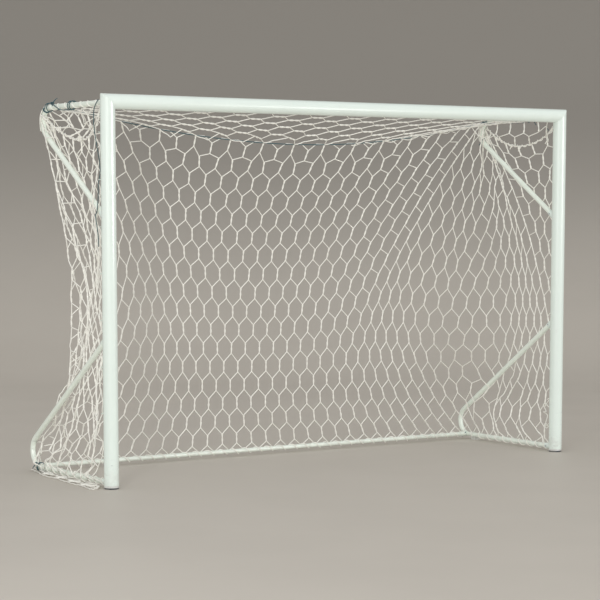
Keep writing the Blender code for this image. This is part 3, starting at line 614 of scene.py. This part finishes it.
def relax(lattice, points, free, steps, passes, weight, widths, tubes, near, soften, pull, firm):
    """Moves the free nodes step by step, and mends the strands' lengths some times in each step."""
    before = points.copy()
    loose = free.astype(float)
    beside = lattice.strands()[near] if tubes else None
    for step in range(steps):
        move = (points - before) * KEPT_SPEED
        before = points.copy()
        points = points + move * loose[:, None]
        points[:, 2] -= weight * loose
        points += pull * loose[:, None]
        points[:, 2] = np.maximum(points[:, 2], LEAST_HEIGHT)
        for _ in range(passes):
            for (i, j), rest in zip(lattice.groups, lattice.lengths):
                run = points[j] - points[i]
                length = np.linalg.norm(run, axis=1)
                spare = 0.04 * (length - rest * 0.98) / length
                share = np.where(length > rest, (length - rest) / length, spare)
                shift = run * (share / np.maximum(loose[i] + loose[j], 1e-9))[:, None]
                points[i] += shift * loose[i][:, None]
                points[j] -= shift * loose[j][:, None]
        i, j = lattice.seconds
        run = points[j] - points[i]
        length = np.maximum(np.linalg.norm(run, axis=1), 1e-9)
        shift = run * (np.where(length < widths, (length - widths) / length * firm, 0) * 0.5)[:, None]
        np.add.at(points, i, shift * loose[i][:, None])
        np.add.at(points, j, -shift * loose[j][:, None])
        if soften:
            middle = (i + j) // 2
            even = ((points[i] + points[j]) / 2 - points[middle]) * soften
            even[:, 2] = 0
            points[middle] += even * loose[middle][:, None]
        if tubes and step % 2 == 0:
            pushed, _ = tubes.push(points, HOOP_RADIUS + 0.004)
            points = np.where(free[:, None], pushed, points)
            first, second = beside[:, 0], beside[:, 1]
            for t in (0.5, 0.25, 0.75):
                spot = points[first] * (1 - t) + points[second] * t
                pushed, hit = tubes.push(spot, HOOP_RADIUS + 0.003)
                if hit.any():
                    shift = (pushed - spot)[hit] * 0.7 / ((1 - t) ** 2 + t ** 2)
                    np.add.at(points, first[hit], shift * ((1 - t) * loose[first[hit]])[:, None])
                    np.add.at(points, second[hit], shift * (t * loose[second[hit]])[:, None])
    return points


def rope_point(across):
    """The rope behind the top of the net, from -1 at the left hoop to 1 at the right one."""
    middle = 1 - across ** 2
    lift = np.interp(across, *ROPE_LIFTS)
    return place(across * ROPE_HALF, ROPE_DEPTH - ROPE_PULL * middle, ROPE_HEIGHT - ROPE_SAG * middle + lift)


def seam_point(side, share):
    """The sagging seam of the top panel and the side, from the post to the upper hoop's bend."""
    start = SEAM_START[side]
    skew = share ** 0.85
    z = start + (SEAM_END - start) * share - SEAM_SAG * skew * (1 - skew)
    x = 1.5600 - 0.035 * sin(pi * share)
    return place(side * x, 0.066 + 0.669 * share, z)


# The sheet's rear edges from the bend to the ground: height, depth, distance inside the hoop
REAR_EDGE = np.array((
    (2.000, 0.766, 0.0), (1.950, 0.775, 0.0), (1.890, 0.752, 0.0), (1.850, 0.728, 0.002), (1.680, 0.625, 0.012),
    (1.460, 0.550, 0.020), (1.210, 0.490, 0.026), (1.050, 0.460, 0.028), (0.870, 0.445, 0.028),
    (0.720, 0.452, 0.025), (0.580, 0.490, 0.018), (0.450, 0.585, 0.004), (0.300, 0.790, 0.0), (0.200, 0.925, 0.0),
    (0.130, 0.968, 0.0), (0.080, 0.960, 0.0), (0.030, 0.915, 0.0)))


def rear_edge(share):
    """Depth, height and distance inside the hoop, a share of the way down the rear edge."""
    run = lengths_along(REAR_EDGE[:, :2])
    height, depth, inward = (np.interp(share * run[-1], run, REAR_EDGE[:, i]) for i in range(3))
    return float(depth) + 0.008, float(height), float(inward)


def on_bend(side, turn, across):
    """A point on the outside of the upper bend: turned up it by degrees, and across the tube from -1 to 1."""
    reach = UPPER_BEND + ON_HOOP * cos(across * 1.3)
    turn = radians(turn)
    return place(side * POST_X + ON_HOOP * sin(across * 1.3), UPPER_CENTRE + reach * cos(turn),
                 UPPER_RUN - UPPER_BEND + reach * sin(turn))


def in_low_bend(turn):
    """A point on the inner side of the left lower bend, turned up it by degrees from below."""
    reach = LOWER_BEND + ON_HOOP * cos(1.4)
    turn = radians(turn)
    return place(-POST_X + ON_HOOP * sin(1.4), LOWER_CENTRE + reach * sin(turn),
                 GROUND_RUN + LOWER_BEND - reach * cos(turn))


def behind_strut(height):
    """A point on the inner side of the left lower strut."""
    return place(-POST_X + 0.0165, 0.056 + (LOWER_FOOT - height) / LOWER_SLOPE, height + 0.008)


def sheet_top(half):
    """Where the wrapped sheet's top border is held: the seams, the upper bends and the rope."""
    if half <= SEAM_LEFT + 1:
        return seam_point(-1, 0.93 * half / (SEAM_LEFT + 1))
    if half >= SEAM_RIGHT - 1:
        return seam_point(1, 0.93 * (SHEET_HALVES - half) / (SHEET_HALVES - SEAM_RIGHT + 1))
    if half <= BEND_LEFT:
        share = (half - SEAM_LEFT - 2) / (BEND_LEFT - SEAM_LEFT - 2)
        return on_bend(-1, 24 + 30 * share, -1 + 2 * share)
    if half >= BEND_RIGHT:
        share = (SEAM_RIGHT - 2 - half) / (SEAM_RIGHT - 2 - BEND_RIGHT)
        return on_bend(1, 24 + 30 * share, 1 - 2 * share)
    columns = [BEND_LEFT] + [FIRST_TIE + TIE_STEP * i for i in range(len(ROPE_TIES))] + [BEND_RIGHT]
    x = float(np.interp(half, columns, (-ROPE_HALF,) + ROPE_TIES + (ROPE_HALF,)))
    return rope_point(x / ROPE_HALF)


def sheet_foot(half):
    """Where the wrapped sheet is tied down: the ground tubes and the rear bar."""
    outside = POST_X + FOOT_OUT
    rear = BAR_DEPTH + 0.015
    if half <= CORNER_LEFT:
        return place(-outside, FOOT_DEPTH + (rear - FOOT_DEPTH) * half / CORNER_LEFT, GROUND_RUN)
    if half >= CORNER_RIGHT:
        share = (SHEET_HALVES - half) / (SHEET_HALVES - CORNER_RIGHT)
        return place(outside, FOOT_DEPTH + (rear - FOOT_DEPTH) * share, GROUND_RUN)
    share = (half - CORNER_LEFT) / (CORNER_RIGHT - CORNER_LEFT)
    return place(-outside + 2 * outside * share, BAR_DEPTH + 0.020, BAR_HEIGHT + 0.002)


def start_node(spot, half, share, zigzag):
    """Moves a node of the sheet to where it starts to hang: near the rear edge, at a side or in the back."""
    depth, height, inward = rear_edge(share - zigzag / 2.3)
    spot[2] += zigzag
    if CORNER_LEFT < half < CORNER_RIGHT:
        near = exp(-(min(half - CORNER_LEFT, CORNER_RIGHT - half) / 6.0) ** 2)
        spot[1] += 0.05 * sin(pi * share) * (1 - near)
        spot[1] += (FRONT + depth - spot[1]) * near
        spot[2] += (height - spot[2]) * near
        return
    back = half / CORNER_LEFT if half <= CORNER_LEFT else (SHEET_HALVES - half) / CORNER_LEFT
    spot[1] = FRONT + EDGE_DEPTH + (depth - EDGE_DEPTH) * back
    spot[2] += (height - spot[2]) * back
    spot[0] = copysign(POST_X + 0.030 - (0.010 + inward) * back ** 3, spot[0])
    if half <= CORNER_LEFT:
        within = min(1.0, max(0.0, (CROSS_HEIGHT - spot[2]) / 0.25))
        spot[0] += (-POST_X + INNER_OUT - spot[0]) * within
        spot[1] += INNER_DEPTH * within * back * min(1.0, max(0.0, (spot[2] - 0.25) / 0.2))


def hang_sheet(net):
    """The sheet that wraps the left side, the back and the right side."""
    lattice = Lattice(SHEET_LINES, SHEET_HALVES, net.cell_side, np.random.default_rng(7), 1)
    halves = np.arange(SHEET_HALVES + 1)
    lines = np.arange(SHEET_LINES)
    last = SHEET_LINES - 1
    top = np.array([sheet_top(half) for half in halves])
    foot = np.array([sheet_foot(half) for half in halves])
    points = np.zeros((SHEET_LINES, SHEET_HALVES + 1, 3))
    tied = np.zeros(points.shape[:2], bool)
    for line in lines:
        share = line / last
        points[line] = top * (1 - share) + foot * share
        for half in halves[1:-1] if 0 < line < last else ():
            start_node(points[line, half], half, share, -0.020 if (half + line) % 2 else 0.020)
    points[-1, 1::2, 2] += 0.045
    points[-1, ::2], tied[-1, ::2] = foot[::2], True
    untied = (halves >= BEND_LEFT) & (halves <= BEND_RIGHT) & ((halves - FIRST_TIE) % TIE_STEP != 0)
    on_rope = untied & (halves % 2 == 0)
    tied[0] = ~untied | on_rope
    points[0, on_rope] += (0, 0.004, 0.004)
    points[0, ~tied[0], 2] -= 0.012
    for line, spot in [(line, behind_strut(height)) for line, height in STRUT_TIES] + [
            (line, in_low_bend(turn)) for line, turn in BEND_TIES]:
        points[line, CORNER_LEFT], tied[line, CORNER_LEFT] = spot, True
    for half, side in ((0, -1), (SHEET_HALVES, 1)):
        start = SEAM_START[side]
        tied[:, half] = True
        for line in lines:
            z = start + (EDGE_FOOT - start) * line / last + (-0.018 if (half + line) % 2 else 0.018)
            points[line, half] = place(side * (POST_X + EDGE_OUT), EDGE_DEPTH, z)
    widths = np.tile(np.interp(halves[1:-1], WIDTH_COLUMNS, WIDTHS), SHEET_LINES)
    firm = np.tile(np.interp(halves[1:-1], (34, 50, 76, 84), (SOFT, FIRM, FIRM, SOFT)), SHEET_LINES)
    column = lattice.strands()[:, 0] % (SHEET_HALVES + 1)
    near = (column < 30) | (column > SHEET_HALVES - 30)
    tubes = Tubes()
    steps = 420
    pull = 0.0
    for strength, fold, spread, known, shares, direction in PULLS:
        drawn_in = strength * np.exp(-((halves - fold) / spread) ** 2)
        drawn_in = np.interp(lines, known, shares)[:, None] * drawn_in
        pull = pull + drawn_in.reshape(-1, 1) * np.array(direction)
    return lattice, hang(lattice, points, tied, steps, widths, tubes, near, 0.02, pull, firm), tubes


def hang_top(net):
    """The top panel, hooked behind the crossbar and tied to the rope and to the upper runs."""
    lattice = Lattice(TOP_LINES, TOP_HALVES, net.top_cell_side, np.random.default_rng(11), 0)
    points = np.zeros((TOP_LINES, TOP_HALVES + 1, 3))
    tied = np.zeros(points.shape[:2], bool)
    ties = (-ROPE_HALF,) + ROPE_TIES + (ROPE_HALF,)
    last = TOP_LINES - 1
    for line in range(TOP_LINES):
        if line in (0, last):
            side = -1 if line == 0 else 1
            points[line] = [seam_point(side, half / TOP_HALVES) for half in range(TOP_HALVES + 1)]
            tied[line] = True
            continue
        front = place(np.interp(line, (0, 2, last - 2, last), (-1.530, -1.510, 1.510, 1.530)), 0.058, 2.046)
        rear = rope_point(float(np.interp(line, range(0, TOP_LINES, 2), ties)) / ROPE_HALF)
        for half in range(TOP_HALVES + 1):
            share = half / TOP_HALVES
            point = front * (1 - share) + rear * share
            point[0] += 0.018 if (line + half) % 2 == 0 else -0.018
            point[2] -= 0.02 * sin(pi * share)
            points[line, half] = point
        tied[line, 0] = True
        if line % 2 == 0:
            points[line, -1], tied[line, -1] = rear, True
        if line in (2, last - 2):
            points[line, 2:-2:2, 0] = copysign(POST_X - 0.012, line - 3)
            points[line, 2:-2:2, 2] = UPPER_RUN - 0.020
            tied[line, 2:-2:2] = True
    return lattice, hang(lattice, points, tied, 300, TOP_WIDTH)


def clear_tubes(paths, tubes, reach):
    """Moves the cords' points out of the hoops, some at a time."""
    every = np.concatenate(paths)
    for first in range(0, len(every), 4000):
        every[first:first + 4000] = tubes.push(every[first:first + 4000], reach)[0]
    return np.split(every, np.cumsum([len(path) for path in paths])[:-1])


class GOAL_OT_hang_sheet(bpy.types.Operator):
    """Hangs the sheet of net that wraps both sides and the back"""
    bl_idname = "goal.hang_sheet"
    bl_label = "Hang the wrapped sheet"

    def execute(self, context):
        net = context.scene.goal_net
        cord = net.cord_diameter
        lattice, points, tubes = hang_sheet(net)
        parts = (("net_side_left", 0, CORNER_LEFT), ("net_back", CORNER_LEFT, CORNER_RIGHT),
                 ("net_side_right", CORNER_RIGHT, SHEET_HALVES))
        for node, low, high in parts:
            paths = [lattice.cord_path(points, half, cord) for half in range(low, high)]
            lay("cord", "sheet_" + node[4:], clear_tubes(paths, tubes, HOOP_RADIUS + cord / 2), node)
        return {"FINISHED"}


class GOAL_OT_hang_top(bpy.types.Operator):
    """Hangs the top panel of net between the crossbar and the rope"""
    bl_idname = "goal.hang_top"
    bl_label = "Hang the top panel"

    def execute(self, context):
        net = context.scene.goal_net
        lattice, points = hang_top(net)
        paths = [lattice.cord_path(points, half, net.cord_diameter) for half in range(TOP_HALVES)]
        lay("cord", "top_panel", paths, "net_top")
        return {"FINISHED"}


# ---- rope and lacings

def wind(line_point, turns, radius):
    """Points of a cord wound round a line: line_point(share) gives its centre, side and up."""
    count = int(turns * WIND_POINTS)
    out = []
    for i in range(count + 1):
        centre, side, up = line_point(i / count)
        turn = 2 * pi * i / WIND_POINTS
        out.append(centre + radius * (side * cos(turn) + up * sin(turn)))
    return np.array(out)


def along_y(x, z, depth0, depth1):
    def point(share):
        return place(x, depth0 + (depth1 - depth0) * share, z), np.array((1.0, 0, 0)), np.array((0, 0, 1.0))
    return point


def round_bend(side):
    """The line of the upper hoop's bend about the place where the rope is wound on."""
    def point(share):
        angle = radians(ROPE_TURN) + ROPE_PITCH * ROPE_TURNS * (share - 0.5) / UPPER_BEND
        outward = np.array((0.0, cos(angle), sin(angle)))
        centre = place(side * POST_X, UPPER_CENTRE, UPPER_RUN - UPPER_BEND) + outward * UPPER_BEND
        return centre, np.array((-side * 1.0, 0, 0)), outward
    return point


def knot(centre, size, lean, tails=()):
    """A small overhand knot, with loose tails that run out to the given points."""
    centre, turn = np.array(centre), np.linspace(0.4, 2 * pi + 0.2, 30)
    loop = np.stack((np.sin(turn) + 2 * np.sin(2 * turn), -1.1 * np.sin(3 * turn),
                     np.cos(turn) - 2 * np.cos(2 * turn)), 1) * size / 3
    cosine, sine = cos(lean), sin(lean)
    loop = loop @ np.array(((cosine, sine, 0), (-sine, cosine, 0), (0, 0, 1.0)))
    paths = [centre + loop]
    for tail in tails:
        middle = (centre + tail) / 2 + np.array((0.006, 0.0, 0.010))
        paths.append(smooth_path([centre, middle, tail], 5))
    return paths


def wavy(points, draw, swing, steps=6):
    """A slack cord through the points, with small swings to and fro."""
    path = smooth_path(points, steps)
    noise = np.cumsum(draw.normal(0, 1, path.shape), axis=0)
    noise -= np.linspace(0, 1, len(path))[:, None] * noise[-1]
    return path + noise * swing


def wound_on(centre_line, radius, pitch, draw, start=0.0):
    """A cord wound loosely along a line, with turns of uneven pitch."""
    length = lengths_along(centre_line)
    count = max(8, int(length[-1] / pitch * LOOSE_WIND_POINTS))
    at = np.linspace(0, length[-1], count)
    spots = np.stack([np.interp(at, length, centre_line[:, i]) for i in range(3)], 1)
    side, up = spin_frames(spots)
    turn = start + 2 * pi * np.cumsum(draw.uniform(0.6, 1.4, count)) / LOOSE_WIND_POINTS
    return spots + radius * (side * np.cos(turn)[:, None] + up * np.sin(turn)[:, None])


class GOAL_OT_tie_rope(bpy.types.Operator):
    """Strings the rope between the upper hoops and winds its ends on"""
    bl_idname = "goal.tie_rope"
    bl_label = "Tie the rope"

    def execute(self, context):
        net = context.scene.goal_net
        path = np.array([rope_point(across) for across in np.linspace(-1, 1, 60)])
        rope = lay("rope", "top_rope", [path], "rear_top_rope")
        for name, side in (("left", -1), ("right", 1)):
            path = wind(round_bend(side), ROPE_TURNS, HOOP_RADIUS + net.rope_diameter / 2 + 0.0004)
            lay("rope", "rope_winding_" + name, [path], "rope_wrap_" + name)
        return {"FINISHED"}


class GOAL_OT_lace_post(bpy.types.Operator):
    """Laces the teal cord down the back of the left post"""
    bl_idname = "goal.lace_post"
    bl_label = "Lace the left post"

    def execute(self, context):
        x = -(POST_X + 0.030)
        spots = ((x, 0.046, 2.050), (x, 0.075, 2.030), (x, 0.097, 1.998), (x, 0.100, 1.955), (x, 0.099, 1.920),
                 (x, 0.086, 1.865), (x, 0.068, 1.809), (x + 0.008, 0.058, 1.74), (x + 0.010, 0.055, 1.67),
                 (x, 0.057, 1.609), (x, 0.060, 1.54), (x, 0.076, 1.469), (x, 0.092, 1.452), (x, 0.087, 1.424),
                 (x, 0.067, 1.354), (x, 0.059, 1.284))
        path = smooth_path([place(*spot) for spot in spots], 5)
        lacing = lay("lacing", "post_lacing", [path], "lacing_cord")
        return {"FINISHED"}


class GOAL_OT_lash_corners(bpy.types.Operator):
    """Lashes the net to the hoops with the teal cord"""
    bl_idname = "goal.lash_corners"
    bl_label = "Lash the corners"

    def execute(self, context):
        net = context.scene.goal_net
        reach = HOOP_RADIUS + net.cord_diameter + net.lacing_diameter / 2
        left, right = -POST_X, POST_X
        out, inner = left - 0.024, right - 0.022
        paths = [wind(along_y(x, z, begin, end), turns, reach) for x, z, begin, end, turns in (
            (left, UPPER_RUN, 0.385, 0.425, 2.0), (left, UPPER_RUN, 0.655, 0.690, 1.6),
            (right, UPPER_RUN, 0.250, 0.470, 4.0), (right, UPPER_RUN, 0.670, 0.700, 2.0),
            (left, GROUND_RUN, 0.838, 0.862, 2.0))]
        tails = place(out, 0.533, 2.078), place(out, 0.560, 2.070)
        paths += knot(place(out, 0.594, 2.052), 0.011, 0.3, tails)
        slack = ((0.594, 2.050), (0.530, 2.025), (0.470, 2.012), (0.422, 2.012), (0.405, 2.020))
        paths.append(wavy([place(out, *spot) for spot in slack], np.random.default_rng(3), 0.0004))
        paths += knot(place(left - 0.020, 0.862, 0.046), 0.012, 0.2, (place(out, 0.905, 0.016),))
        paths += knot(place(right - 0.020, 0.868, 0.036), 0.010, 0.9)
        paths += [smooth_path([place(*spot) for spot in spots], 4) for spots in (
            ((inner, 0.7535, 1.884), (inner, 0.738, 1.900), (inner, 0.722, 1.917),
             (right - 0.004, 0.716, 1.930)),
            ((inner, 0.2195, 2.018), (inner, 0.193, 1.993)),
            ((inner, 0.0886, 1.969), (inner, 0.076, 1.956)))]
        lay("lacing", "corner_lashings", paths)
        return {"FINISHED"}


class GOAL_OT_bind_borders(bpy.types.Operator):
    """Binds the net's borders to the hoops, the rope and the ground bar with white cord"""
    bl_idname = "goal.bind_borders"
    bl_label = "Bind the borders"

    def execute(self, context):
        draw = np.random.default_rng(21)
        cord = context.scene.goal_net.cord_diameter
        reach = HOOP_RADIUS + cord / 2 + 0.0005
        paths = []
        for side in (-1, 1):
            x = side * POST_X
            seam = np.array([seam_point(side, share) for share in np.linspace(0, 1, 30)])
            paths.append(wound_on(seam, 0.006, 0.045, draw))
            run = np.array([place(x, depth, UPPER_RUN) for depth in (0.07, 0.655)])
            paths.append(wound_on(run, reach - 0.0022, 0.085, draw))
            run = np.array([place(x, depth, GROUND_RUN) for depth in (0.065, 0.850)])
            paths.append(wound_on(run, reach, 0.080, draw, 1.0))
            for across in (-0.85, -0.45, 0.0, 0.45, 0.85):
                turns = np.linspace(70, -28, 12)
                strand = np.array([on_bend(side, turn, across) for turn in turns])
                paths.append(strand + np.array((0.0015, 0, 0)) * np.sin(turns * 0.09 + across * 5)[:, None])
            for turn in (52, 30, 4, -20):
                ring = [on_bend(side, turn + 9 * a, a * 1.2) for a in np.linspace(-1, 1, 9)]
                paths.append(smooth_path(ring, 2))
        bar = np.array([place(x, BAR_DEPTH, BAR_HEIGHT) for x in np.linspace(-1.47, 1.47, 3)])
        paths.append(wound_on(bar, BAR_RADIUS + cord / 2 + 0.0005, 0.085, draw))
        rope = np.array([rope_point(across) for across in np.linspace(0.30, 0.985, 40)]) - (0, 0, 0.006)
        paths.append(wound_on(rope, 0.0065, 0.150, draw))
        lay("cord", "border_cords", paths)
        return {"FINISHED"}


class GOAL_OT_drop_tails(bpy.types.Operator):
    """Leaves the white knots, their tails and the slack cord on the floor"""
    bl_idname = "goal.drop_tails"
    bl_label = "Drop the tails"

    def execute(self, context):
        cord = context.scene.goal_net.cord_diameter
        draw = np.random.default_rng(5)
        out, low = -(POST_X + 0.024), cord / 2 + 0.0005
        paths = []
        left = ((0.508, 1.917, 0.522, 1.893), (0.2725, 1.8595, 0.283, 1.838),
                (0.151, 1.9155, 0.171, 1.900), (0.2785, 1.853, 0.262, 1.834))
        right = ((0.371, 1.864, 0.374, 1.838), (0.447, 1.874, 0.456, 1.852), (0.103, 1.900, 0.118, 1.876))
        for x, tail_x, size, lean, spots in ((out, out, 0.010, 9, left),
                                             (POST_X - 0.005, POST_X - 0.012, 0.009, 7, right)):
            for depth, z, *end in spots:
                paths += knot(place(x, depth, z), size, depth * lean, (place(tail_x, *end),))
        slack = ((-1.556, 0.944), (-1.566, 0.850), (-1.588, 0.74), (-1.606, 0.615), (-1.596, 0.50),
                 (-1.612, 0.385), (-1.630, 0.27), (-1.637, 0.160), (-1.652, 0.050), (-1.640, 0.005),
                 (-1.606, 0.020), (-1.590, 0.062), (-1.575, 0.15), (-1.584, 0.25), (-1.568, 0.36),
                 (-1.580, 0.48), (-1.562, 0.60), (-1.570, 0.72))
        for shift, lift in ((0.0, 0.0), (0.022, 0.006)):
            path = wavy([place(x + shift, depth + shift, low + lift) for x, depth in slack], draw, 0.0016, 7)
            path[:, 2] = low + lift + 0.003 * np.abs(np.sin(np.arange(len(path)) * 0.7))
            paths.append(path)
        turn = np.linspace(0, 4.6 * pi, 40)
        for x, depth, width in ((-1.60, 0.15, 0.030), (-1.60, 0.32, 0.024), (-1.59, 0.50, 0.022),
                                (-1.58, 0.68, 0.020)):
            paths.append(np.stack((x + width * np.cos(turn), FRONT + depth + 1.6 * width * np.sin(turn * 0.93),
                                   low + 0.004 + 0.006 * turn / turn[-1] + 0.002 * np.sin(turn * 2)), 1))
        tangle = [place(POST_X + 0.004 + draw.uniform(-0.012, 0.012), 0.075 + draw.uniform(-0.02, 0.05),
                        0.11 + 0.20 * i / 13 + draw.uniform(-0.035, 0.035)) for i in range(14)]
        paths.append(smooth_path(tangle, 6))
        lay("cord", "loose_cords", paths)
        return {"FINISHED"}


# ---- studio

class GOAL_OT_set_stage(bpy.types.Operator):
    """Sets the studio floor, the lamps and the camera"""
    bl_idname = "goal.set_stage"
    bl_label = "Set the stage"

    def execute(self, context):
        scene = context.scene
        colour = scene.goal_colours.floor
        profile = [(-FLOOR_HALF, 0.0), (0.0, 0.0), (SWEEP_START, 0.0)]
        profile += [(SWEEP_START + SWEEP_RADIUS * sin(t), SWEEP_RADIUS - SWEEP_RADIUS * cos(t))
                    for t in np.linspace(0.05, pi / 2, 24)]
        profile.append((SWEEP_START + SWEEP_RADIUS, WALL_HEIGHT))
        ahead = np.array((sin(CAMERA_TURN), cos(CAMERA_TURN)))
        aside = np.array((cos(CAMERA_TURN), -sin(CAMERA_TURN)))
        verts = [(*(ahead * out + aside * wide), height)
                 for out, height in profile for wide in (-FLOOR_HALF, FLOOR_HALF)]
        faces = [(2 * i, 2 * i + 1, 2 * i + 3, 2 * i + 2) for i in range(len(profile) - 1)]
        mesh = bpy.data.meshes.new("studio_floor")
        mesh.from_pydata(verts, [], faces)
        mesh.shade_smooth()
        floor = bpy.data.objects.new("studio_floor", mesh)
        scene.collection.objects.link(floor)
        material, w, shader = new_finish("studio_floor")
        speck = w.noise(w.spot(), 1.3, 4.0, 0.5)
        base = w.mix(w.ramp(speck, 0.3, 0.7), darker(colour), darker(colour, 0.97))
        wall = w.ramp(w.split(w.spot())["Z"], 0.0, 2.6)
        w.fill(shader, Base_Color=w.mix(wall, base, darker(colour, 0.50)), Roughness=0.55)
        floor.data.materials.append(material)

        world = bpy.data.worlds.new("studio")
        scene.world = world
        world.use_nodes = True
        w = Wiring(world.node_tree)
        light = w.fill(world.node_tree.nodes["Background"], Color=(1.0, 1.0, 1.0, 1.0), Strength=0.76)
        seen = w.fill(w.add("ShaderNodeBackground"), Color=darker(colour), Strength=1.0)
        pick = w.add("ShaderNodeMixShader")
        for source, socket in zip((w.add("ShaderNodeLightPath").outputs["Is Camera Ray"], light[0], seen[0]),
                                  pick.inputs):
            w.join(source, socket)
        w.join(pick.outputs[0], world.node_tree.nodes["World Output"].inputs["Surface"])

        for name, spot, size, power in (("key_lamp", (-7.5, -7.5, 2.0), 1.8, 300.0),
                                        ("fill_lamp", (4.5, -7.5, 2.0), 1.8, 130.0),
                                        ("back_lamp", (1.0, 5.0, 5.0), 3.0, 20.0)):
            bpy.ops.object.light_add(type="AREA", location=spot)
            lamp = context.object
            lamp.name = name
            lamp.data.shape = "DISK"
            lamp.data.size = size
            lamp.data.energy = power
            aim = Vector((0.0, 0.0, 0.9)) - Vector(spot)
            lamp.rotation_euler = aim.to_track_quat("-Z", "Y").to_euler()

        bpy.ops.object.camera_add(location=CAMERA_SPOT, rotation=(pi / 2 - CAMERA_DIP, 0.0, -CAMERA_TURN))
        camera = context.object
        camera.name = "photo_camera"
        camera.data.sensor_width = SENSOR
        camera.data.lens = SENSOR * FOCAL_PIXELS / PICTURE_PIXELS
        camera.data.shift_y = (LEVEL_ROW - PICTURE_PIXELS / 2) / PICTURE_PIXELS
        scene.camera = camera
        scene.view_settings.view_transform = "Standard"
        return {"FINISHED"}


class GOAL_PT_looks(bpy.types.Panel):
    """The steps that dress the goal"""
    bl_idname = "GOAL_PT_looks"
    bl_label = "Futsal goal"
    bl_space_type = "VIEW_3D"
    bl_region_type = "UI"
    bl_category = "Goal"

    def draw(self, context):
        column = self.layout.column()
        for settings in (context.scene.goal_net, context.scene.goal_colours):
            for label in settings.__annotations__:
                column.prop(settings, label)
        for step in STEPS:
            column.operator(step.bl_idname)


SETTINGS = (GoalNetSettings, GoalColourSettings)
STEPS = (GOAL_OT_finish_frame, GOAL_OT_hang_sheet, GOAL_OT_hang_top, GOAL_OT_tie_rope, GOAL_OT_lace_post,
         GOAL_OT_lash_corners, GOAL_OT_bind_borders, GOAL_OT_drop_tails, GOAL_OT_set_stage)


def register():
    for item in SETTINGS + STEPS + (GOAL_PT_looks,):
        bpy.utils.register_class(item)
    bpy.types.Scene.goal_net = bpy.props.PointerProperty(type=GoalNetSettings)
    bpy.types.Scene.goal_colours = bpy.props.PointerProperty(type=GoalColourSettings)


def unregister():
    del bpy.types.Scene.goal_net
    del bpy.types.Scene.goal_colours
    for item in reversed(SETTINGS + STEPS + (GOAL_PT_looks,)):
        bpy.utils.unregister_class(item)


def main():
    register()
    for step in STEPS:
        group, name = step.bl_idname.split(".")
        getattr(getattr(bpy.ops, group), name)()


if __name__ == "__main__":
    main()
